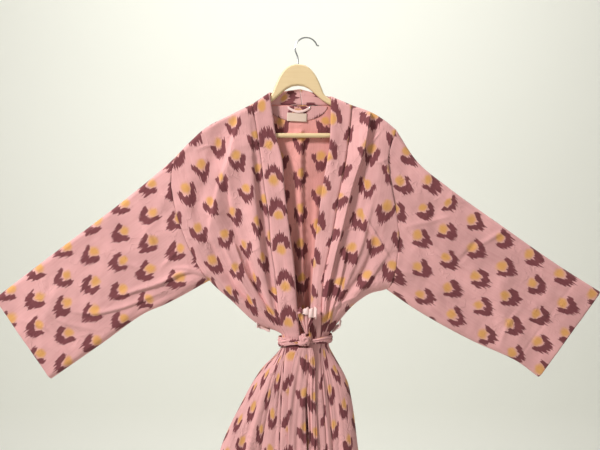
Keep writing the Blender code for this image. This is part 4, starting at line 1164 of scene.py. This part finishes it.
def woven_tape():
    """Label tape, woven from shiny polyester: beige, with a close rib and firm edges."""
    material, put, shader = new_material("Woven polyester tape", 0.5)
    in_mm = put("VectorMath", put("UVMap", uv_map="Cloth"), (1000.0,) * 3, operation="MULTIPLY")
    ribs = put("VectorMath", in_mm, (1 / 20, 1 / 0.5, 1.0), operation="MULTIPLY")
    rib = put("TexNoise", ribs, None, 1.0, 2.0, noise_dimensions="2D")
    tone = put("MixRGB", rib, linear("#D6BCAB"), linear("#E6D0C1"))
    finish(shader, Base_Color=tone, Normal=put("Bump", 0.3, 0.0002, None, rib))
    return material


def pink_cotton():
    """Plain cotton tape, piece dyed: a paler pink than the print, soft and matt."""
    material, put, shader = new_material("Cotton tape, dyed pink", 0.88, 0.25)
    shader.inputs["Sheen Weight"].default_value = 0.2
    in_mm = put("VectorMath", put("UVMap", uv_map="Cloth"), (1000.0,) * 3, operation="MULTIPLY")
    yarns = put("VectorMath", in_mm, (1 / 0.8, 1 / 8, 1.0), operation="MULTIPLY")
    yarn = put("TexNoise", yarns, None, 1.0, 2.0, noise_dimensions="2D")
    tone = put("MixRGB", yarn, linear("#EBC4C0"), linear("#F3D9D5"))
    finish(shader, Base_Color=tone, Normal=put("Bump", 0.35, 0.0003, None, yarn))
    return material


def on_back(x, z, off):
    """Points on the inside of the back, lifted off its middle by off."""
    points = np.stack([x, z], -1)
    depth, near = form_depth(points)
    push, _ = crease_push(points, BACK_CREASES)
    return np.stack([x, depth + push * near - off, z], -1)


def flat_grid(x, z):
    """Flat coordinates of a small piece that lies nearly flat."""
    return x - x.mean(), z - z.mean()


PATCH_HALF = 62.0
PATCH_DROP = 32.0
PATCH_TOP = NECK_MIDDLE.z - 1.5
PATCH_LIFT = 2.1
TRIM_SHELL = 0.9
angle = np.linspace(0, math.pi, 61)[1:-1]
inward = np.linspace(1, 0, 19)
x = HANGER_X + PATCH_HALF * np.cos(angle)[:, None] * np.ones_like(inward)
z = PATCH_TOP - PATCH_DROP * np.sin(angle)[:, None] * inward
z = np.minimum(z, PATCH_TOP - 0.3 * (1 - inward))
rim = 0.9 * np.exp(-((inward - 1) / 0.12) ** 2)
patch = add_cloth("Neck_patch", on_back(x, z, PATCH_LIFT - rim), *flat_grid(x, z), TRIM_SHELL, IKAT)
dress(patch, "ikat_cotton", "neck_patch")

LABEL_AT = Spot(-19.5, -165.0)
LABEL_LIFT = 3.5
LABEL_SHELL = 0.6
LABEL_WIDTH = 42.0
LABEL_HEIGHT = 17.5
LABEL_TILT = math.radians(-3)
across = np.linspace(-0.5, 0.5, 25)[None] * LABEL_WIDTH
down = np.linspace(0.5, -0.5, 13)[:, None] * LABEL_HEIGHT
x = LABEL_AT.x + across * math.cos(LABEL_TILT) - down * math.sin(LABEL_TILT)
z = LABEL_AT.z + across * math.sin(LABEL_TILT) + down * math.cos(LABEL_TILT)
bulge = 0.8 * np.cos(math.pi * across / LABEL_WIDTH) ** 0.5
label = add_cloth("Label", on_back(x, z, LABEL_LIFT + bulge), across + 0 * down, down + 0 * across,
                  LABEL_SHELL, woven_tape())
dress(label, "label_tape", "label")

PINK_TAPE = pink_cotton()
LOOP_AT = Spot(-15.0, -143.5)
LOOP_LIFT = 3.1
LOOP_HALF = 24.0
LOOP_WIDTH = 5.5
LOOP_SAG = 10.0
sweep = np.linspace(-1, 1, 41)[:, None]
wide = np.linspace(0.5, -0.5, 7)[None] * LOOP_WIDTH
x = LOOP_AT.x + LOOP_HALF * sweep + 0 * wide
z = LOOP_AT.z - LOOP_SAG * (1 - sweep ** 2) + wide
lift = LOOP_LIFT + 2.2 * (1 - sweep ** 2) + 0.5 * np.cos(math.pi * wide / LOOP_WIDTH)
hang_loop = add_cloth("Hang_loop", on_back(x, z, lift), wide + 0 * sweep,
                      sweep * LOOP_HALF + 0 * wide, TRIM_SHELL, PINK_TAPE)
dress(hang_loop, "pink_cotton", "hang_loop")


# The belt loops: a short folded strip of plain pink cotton on each side seam, crushed
# flat where the gathers pull past it.

Loop = namedtuple("Loop", "name node side v_top v_bottom out")
BELT_LOOPS = (
    Loop("Belt_loop_left", "belt_loop_left", LEFT_SIDE, 1.62, 1.76, -11.0),
    Loop("Belt_loop_right", "belt_loop_right", RIGHT_SIDE, 1.77, 1.87, 11.0),
)
for loop in BELT_LOOPS:
    top, bottom = edge_points(loop.side, np.array((loop.v_top, loop.v_bottom)))
    sweep = np.linspace(0, 1, 49)[:, None]
    wide = np.linspace(-1, 1, 13)[None]
    crushed = 1.2 * np.sin(7 * sweep + 2 * wide) + 0.7 * np.sin(15 * sweep - 3 * wide)
    out = loop.out * 0.8 * np.sin(math.pi * sweep) ** 0.8
    x = top[0] + (bottom[0] - top[0]) * sweep + out + 0.12 * loop.out * wide + 0.4 * crushed
    z = top[1] + (bottom[1] - top[1]) * sweep + 4.6 * wide + 0.9 * crushed
    y = -10.0 + 12.0 * sweep + 3.0 * wide + crushed
    item = add_cloth(loop.name, np.stack([x, y, z], -1), 4 * wide + 0 * sweep,
                     40 * sweep + 0 * wide, TRIM_SHELL, PINK_TAPE)
    dress(item, "pink_cotton", loop.node)


# The belt: a long strip of the print, sewn as a flat tube. It goes round the waist,
# is crushed by its own pull, and is tied in front with a crumpled bow and two tails.

BELT_Z = -634.0
BELT_LIFT = 1.5
BELT_RISE = 3.5
BELT_HEIGHT = 18.0
BELT_SPREAD = 48.0
GATHER_AT_WAIST = 3.4
CAD_CLOTH = 1.2
LAYER_GAP = 0.35
CAD_BELT_CLOTH = 2.0
BELT_FACET = 1.3
BELT_SHELL = 1.0
BELT_OUT = GATHER_AT_WAIST + CAD_CLOTH / 2 + LAYER_GAP + CAD_BELT_CLOTH / 2 + BELT_FACET
FRONT_ANGLE = 1.5 * math.pi


def belt_piece(item, node):
    """A piece of the belt rides with the robe, and stands for its solid."""
    dress(item, "ikat_cotton", node)


# The wrap runs round the waist's oval, in crushed strands that draw together in front.
left, right = edge_points(LEFT_SIDE, 2.0)[0], edge_points(RIGHT_SIDE, 2.0)[0]
waist_half = (right - left) / 2
waist_depth = float(read_table(BODY_DEPTHS, "z", "half", BELT_Z))
angle = np.linspace(0, 2 * math.pi, 181)[:-1][None]
place = np.linspace(0.5, -0.5, 19)[:, None]
off_x, off_y = waist_depth * np.cos(angle), waist_half * np.sin(angle)
length = np.hypot(off_x, off_y)
to_knot = np.exp(-((angle - FRONT_ANGLE) / 0.75) ** 2)
strands = np.abs(np.sin(math.pi * (2.6 * place + 0.3 * np.sin(2 * angle + 0.6)))) ** 0.7
ridges = 2.6 * strands + 0.7 * np.sin(2 * math.pi * (3.1 * place - 0.5 * np.sin(5 * angle))) - 1.2
out = BELT_OUT + ridges * np.cos(math.pi * place) ** 0.5
x = (right + left) / 2 + waist_half * np.cos(angle) + out * off_x / length
y = waist_depth * np.sin(angle) + out * off_y / length
sway = 1.2 * np.sin(2 * angle + 0.5) + 0.7 * np.sin(5 * angle)
to_right = np.cos(angle)
height = BELT_HEIGHT * (1 - 0.56 * to_knot) * (1 - 0.14 * to_right)
z = BELT_Z + BELT_LIFT + place * height + sway + BELT_RISE * to_right
reach = np.insert(np.cumsum(np.hypot(np.diff(x[9]), np.diff(y[9]))), 0, 0)
reach = np.append(reach, reach[-1] + 1)[None]
belt = add_cloth("Belt_wrap", np.stack([x, y, z + 0 * x], -1), reach + 0 * place,
                 place * BELT_SPREAD + 0 * reach, BELT_SHELL, IKAT, tube=True)
belt_piece(belt, "belt_wrap")

# The knot is a small crumpled core with four flattened strands crossing over it.
BELT_FRONT_Y = float((waist_depth * math.sin(FRONT_ANGLE)) - BELT_OUT - CAD_BELT_CLOTH / 2)
KNOT_HALF = np.array((13.0, 6.5, 12.0))
KNOT_AT = np.array((-1.0, BELT_FRONT_Y - KNOT_HALF[1] - LAYER_GAP, -631.0))
KNOT_SHELL = 0.8
CORE_HALF = np.array((10.0, 5.0, 10.0))
CORE_OFF = np.array((-2.0, 1.0, 1.5))
STRANDS_OFF = np.array((-3.0, 0.0, 2.0))
STRAND_POINTS = 33
Strand = namedtuple("Strand", "path wide_start wide_end thick")
KNOT_STRANDS = (
    Strand(((-12, 5.0, -5), (-8, -1.5, -5.5), (-2, -4.6, -4), (4, -5.0, 0), (7, -2.0, 4),
            (8, 4.0, 7)), 4.0, 3.4, 2.2),
    Strand(((-7, 3.0, 9), (-7, -2.0, 6), (-5, -3.6, 0), (-3, -3.0, -6), (-2, 2.0, -10)),
           3.6, 4.2, 2.4),
    Strand(((3.5, -3.0, -4), (6.4, -5.0, -1), (6.6, -6.0, 4), (2.6, -6.6, 7), (-1.4, -6.4, 4.6),
            (-1.6, -5.4, 0), (2, -4.6, -3.4)), 2.0, 1.8, 1.6),
    Strand(((-2, 0.0, 14), (-1, -2.5, 9), (1, -3.2, 3), (4, -1.0, -4), (6, 2.0, -10)),
           4.4, 4.0, 2.6),
)


def strand_tube(strand):
    """A flattened tube along a strand, with lengthwise folds pressed into it."""
    path = along(strand.path, np.linspace(0, 1, STRAND_POINTS))
    middle = KNOT_AT + STRANDS_OFF + path
    run = np.gradient(middle, axis=0)
    run /= np.linalg.norm(run, axis=1, keepdims=True)
    flat = np.cross(run, np.array((0.0, -1.0, 0.0)))
    flat /= np.linalg.norm(flat, axis=1, keepdims=True)
    off = np.cross(flat, run)
    turn = np.linspace(0, 2 * math.pi, 29)[:-1][None, :, None]
    wide = np.linspace(strand.wide_start, strand.wide_end, STRAND_POINTS)[:, None, None]
    press = 1 - 0.3 * np.abs(np.sin(2.5 * turn))
    sides = flat[:, None] * wide * np.cos(turn)
    return middle[:, None] + sides + off[:, None] * strand.thick * press * np.sin(turn)


def knot_core():
    """A crumpled lump of cloth: a flattened ball with sharp, wandering folds."""
    round_it = np.linspace(0, 2 * math.pi, 81)[:-1][None]
    up = np.linspace(-1.45, 1.45, 41)[:, None]
    x, y = np.cos(up) * np.cos(round_it), np.cos(up) * np.sin(round_it)
    ball = np.stack(np.broadcast_arrays(x, y, np.sin(up)), -1)
    folds = [1 - 3.2 * abs(noise.noise(Vector(place) * 1.7 + Vector((4.0, 0, 0))))
             - 1.3 * abs(noise.noise(Vector(place) * 3.9 + Vector((0, 4.0, 0))))
             for place in ball.reshape(-1, 3)]
    lump = 1 + 0.1 * np.array(folds).reshape(ball.shape[:2])
    return KNOT_AT + CORE_OFF + ball * CORE_HALF * lump[..., None]


def add_lump(name, cloth, across_start, down_start):
    """A closed lump of the print, with its cloth's flat coordinates wound round it."""
    rows, columns = cloth.shape[:2]
    length = steps(cloth, 1).mean(axis=1).max() * 0.5
    around = np.abs(np.linspace(-1, 1, columns + 1)) * columns
    across = across_start + length * around + np.zeros((rows, 1))
    down = down_start + np.linspace(0, 1, rows)[:, None] * 1.3 * np.ptp(cloth[..., 2]) + 0 * across
    return add_cloth(name, cloth, across, down, KNOT_SHELL, IKAT, tube=True)


knot = add_lump("Belt_knot", knot_core(), 20.0, 10.0)
for strand in KNOT_STRANDS:
    turn = add_lump("Knot strand", strand_tube(strand), 24.0, 6.0)
    join = bmesh.new()
    join.from_mesh(knot.data)
    join.from_mesh(turn.data)
    join.to_mesh(knot.data)
    join.free()
    bpy.data.objects.remove(turn)
belt_piece(knot, "belt_knot")

# The bow is a ruffled fan on a narrow stem. Its top turns over toward the viewer, and
# there most of its width takes the pale pink tape's colour as a painted highlight.
BOW_AT = np.array((1.5, KNOT_AT[1] - 0.5, -592.0))
BOW_FOLD = 0.68
BOW_STEM = -24.0
BOW_RISE = 54.0
BOW_HALF_WIDTH = 20.0
PALE_HIGHLIGHT_FROM = 0.24
across = np.linspace(-1, 1, 61)[None]
up = np.linspace(0, 1, 61)[:, None]
rising = np.clip(up / BOW_FOLD, 0, 1)
over = np.clip((up - BOW_FOLD) / (1 - BOW_FOLD), 0, 1)
open_out = 0.2 + 0.8 * np.sin(rising * math.pi / 2) ** 1.6
ruffle = np.abs(np.sin(math.pi * (1.9 * across + 0.35 + 0.5 * up)))
frill = np.sin(9 * across + 2.0) + 0.6 * np.sin(17 * across + 1.0)
turned = 11.0 + 9.0 * np.clip(across + 0.4, 0, 1)
x = BOW_AT[0] + rising + BOW_HALF_WIDTH * across * open_out + 1.6 * over * frill
x = x - 2.4 * (1 - rising) * np.sin(5 * up)
y = BOW_AT[1] + 3.5 - 5.5 * ruffle * rising * (1 - 0.6 * over) - 6.0 * np.sin(over * math.pi / 2)
z = BOW_AT[2] + BOW_STEM + (BOW_RISE + 1.6 * frill) * rising ** 0.9 - turned * over ** 1.3
z = z + 2.0 * across * (1 - over)
bow = add_cloth("Belt_bow", np.stack([x, y, z], -1), 22 + 24 * across + 0 * up,
                34 + 70 * up + 0 * across, BELT_SHELL, IKAT)
# The pale pink tape on the bow's turned-over top is a painted highlight.
bow.data.materials.append(PINK_TAPE)
for face in bow.data.polygons:
    row, column = divmod(face.index, across.size - 1)
    if row > BOW_FOLD * up.size and column > PALE_HIGHLIGHT_FROM * across.size:
        face.material_index = 1
belt_piece(bow, "belt_bow")

# The tails come out under the knot, open to their width and hang down the front, the
# left one creased where it was folded.
TAIL_LIFT = BAND_THICK / 2 + CAD_BELT_CLOTH / 2 + 4.0
TAIL_START_OFF = 4.5
Tail = namedtuple("Tail", "name node x_top x_bottom half_top half_bottom bottom fold seed shift")
TAILS = (
    Tail("Belt_tail_left", "belt_tail_left", -8.0, -18.0, 9.0, 18.5, -1120.0, 5.0, 0.6, (30.0, 12.0)),
    Tail("Belt_tail_right", "belt_tail_right", 6.5, 12.0, 5.5, 8.6, -1155.0, 3.0, 2.4, (-8.0, 40.0)),
)
for tail in TAILS:
    top = KNOT_AT[2] - KNOT_HALF[2] - 0.9
    down = (np.linspace(0, 1, 150) ** 1.35)[:, None]
    z = top + (tail.bottom - top) * down
    open_out = 1 - np.exp(-down * 16)
    swing = 2.0 * np.sin(14 * down + tail.seed) * open_out
    middle = tail.x_top + (tail.x_bottom - tail.x_top) * open_out + swing
    half = tail.half_top + (tail.half_bottom - tail.half_top) * open_out
    across = np.linspace(-1, 1, 25)[None]
    x = middle + half * across
    body = read_table(BODY_DEPTHS, "z", "half", z) + TAIL_LIFT
    start = BELT_FRONT_Y - TAIL_START_OFF
    y = start + (-body - start) * np.clip(down * 8, 0, 1)
    slant = across * 0.8 - np.tanh((down - 0.16) * 26) * 0.9 + np.tanh((down - 0.42) * 18) * 0.8
    y = y + (1.1 * np.cos(across * 5 + tail.seed) - tail.fold * np.exp(-(slant / 0.42) ** 2) * 0.5
             + 0.8 * np.sin(across * 9 + 20 * down)) * open_out
    reach = (top - z) * 1.02
    item = add_cloth(tail.name, np.stack([x, y, z + 0 * x], -1),
                     across * half + tail.shift[0] + 0 * down, reach + tail.shift[1] + 0 * across,
                     BELT_SHELL, IKAT)
    belt_piece(item, tail.node)
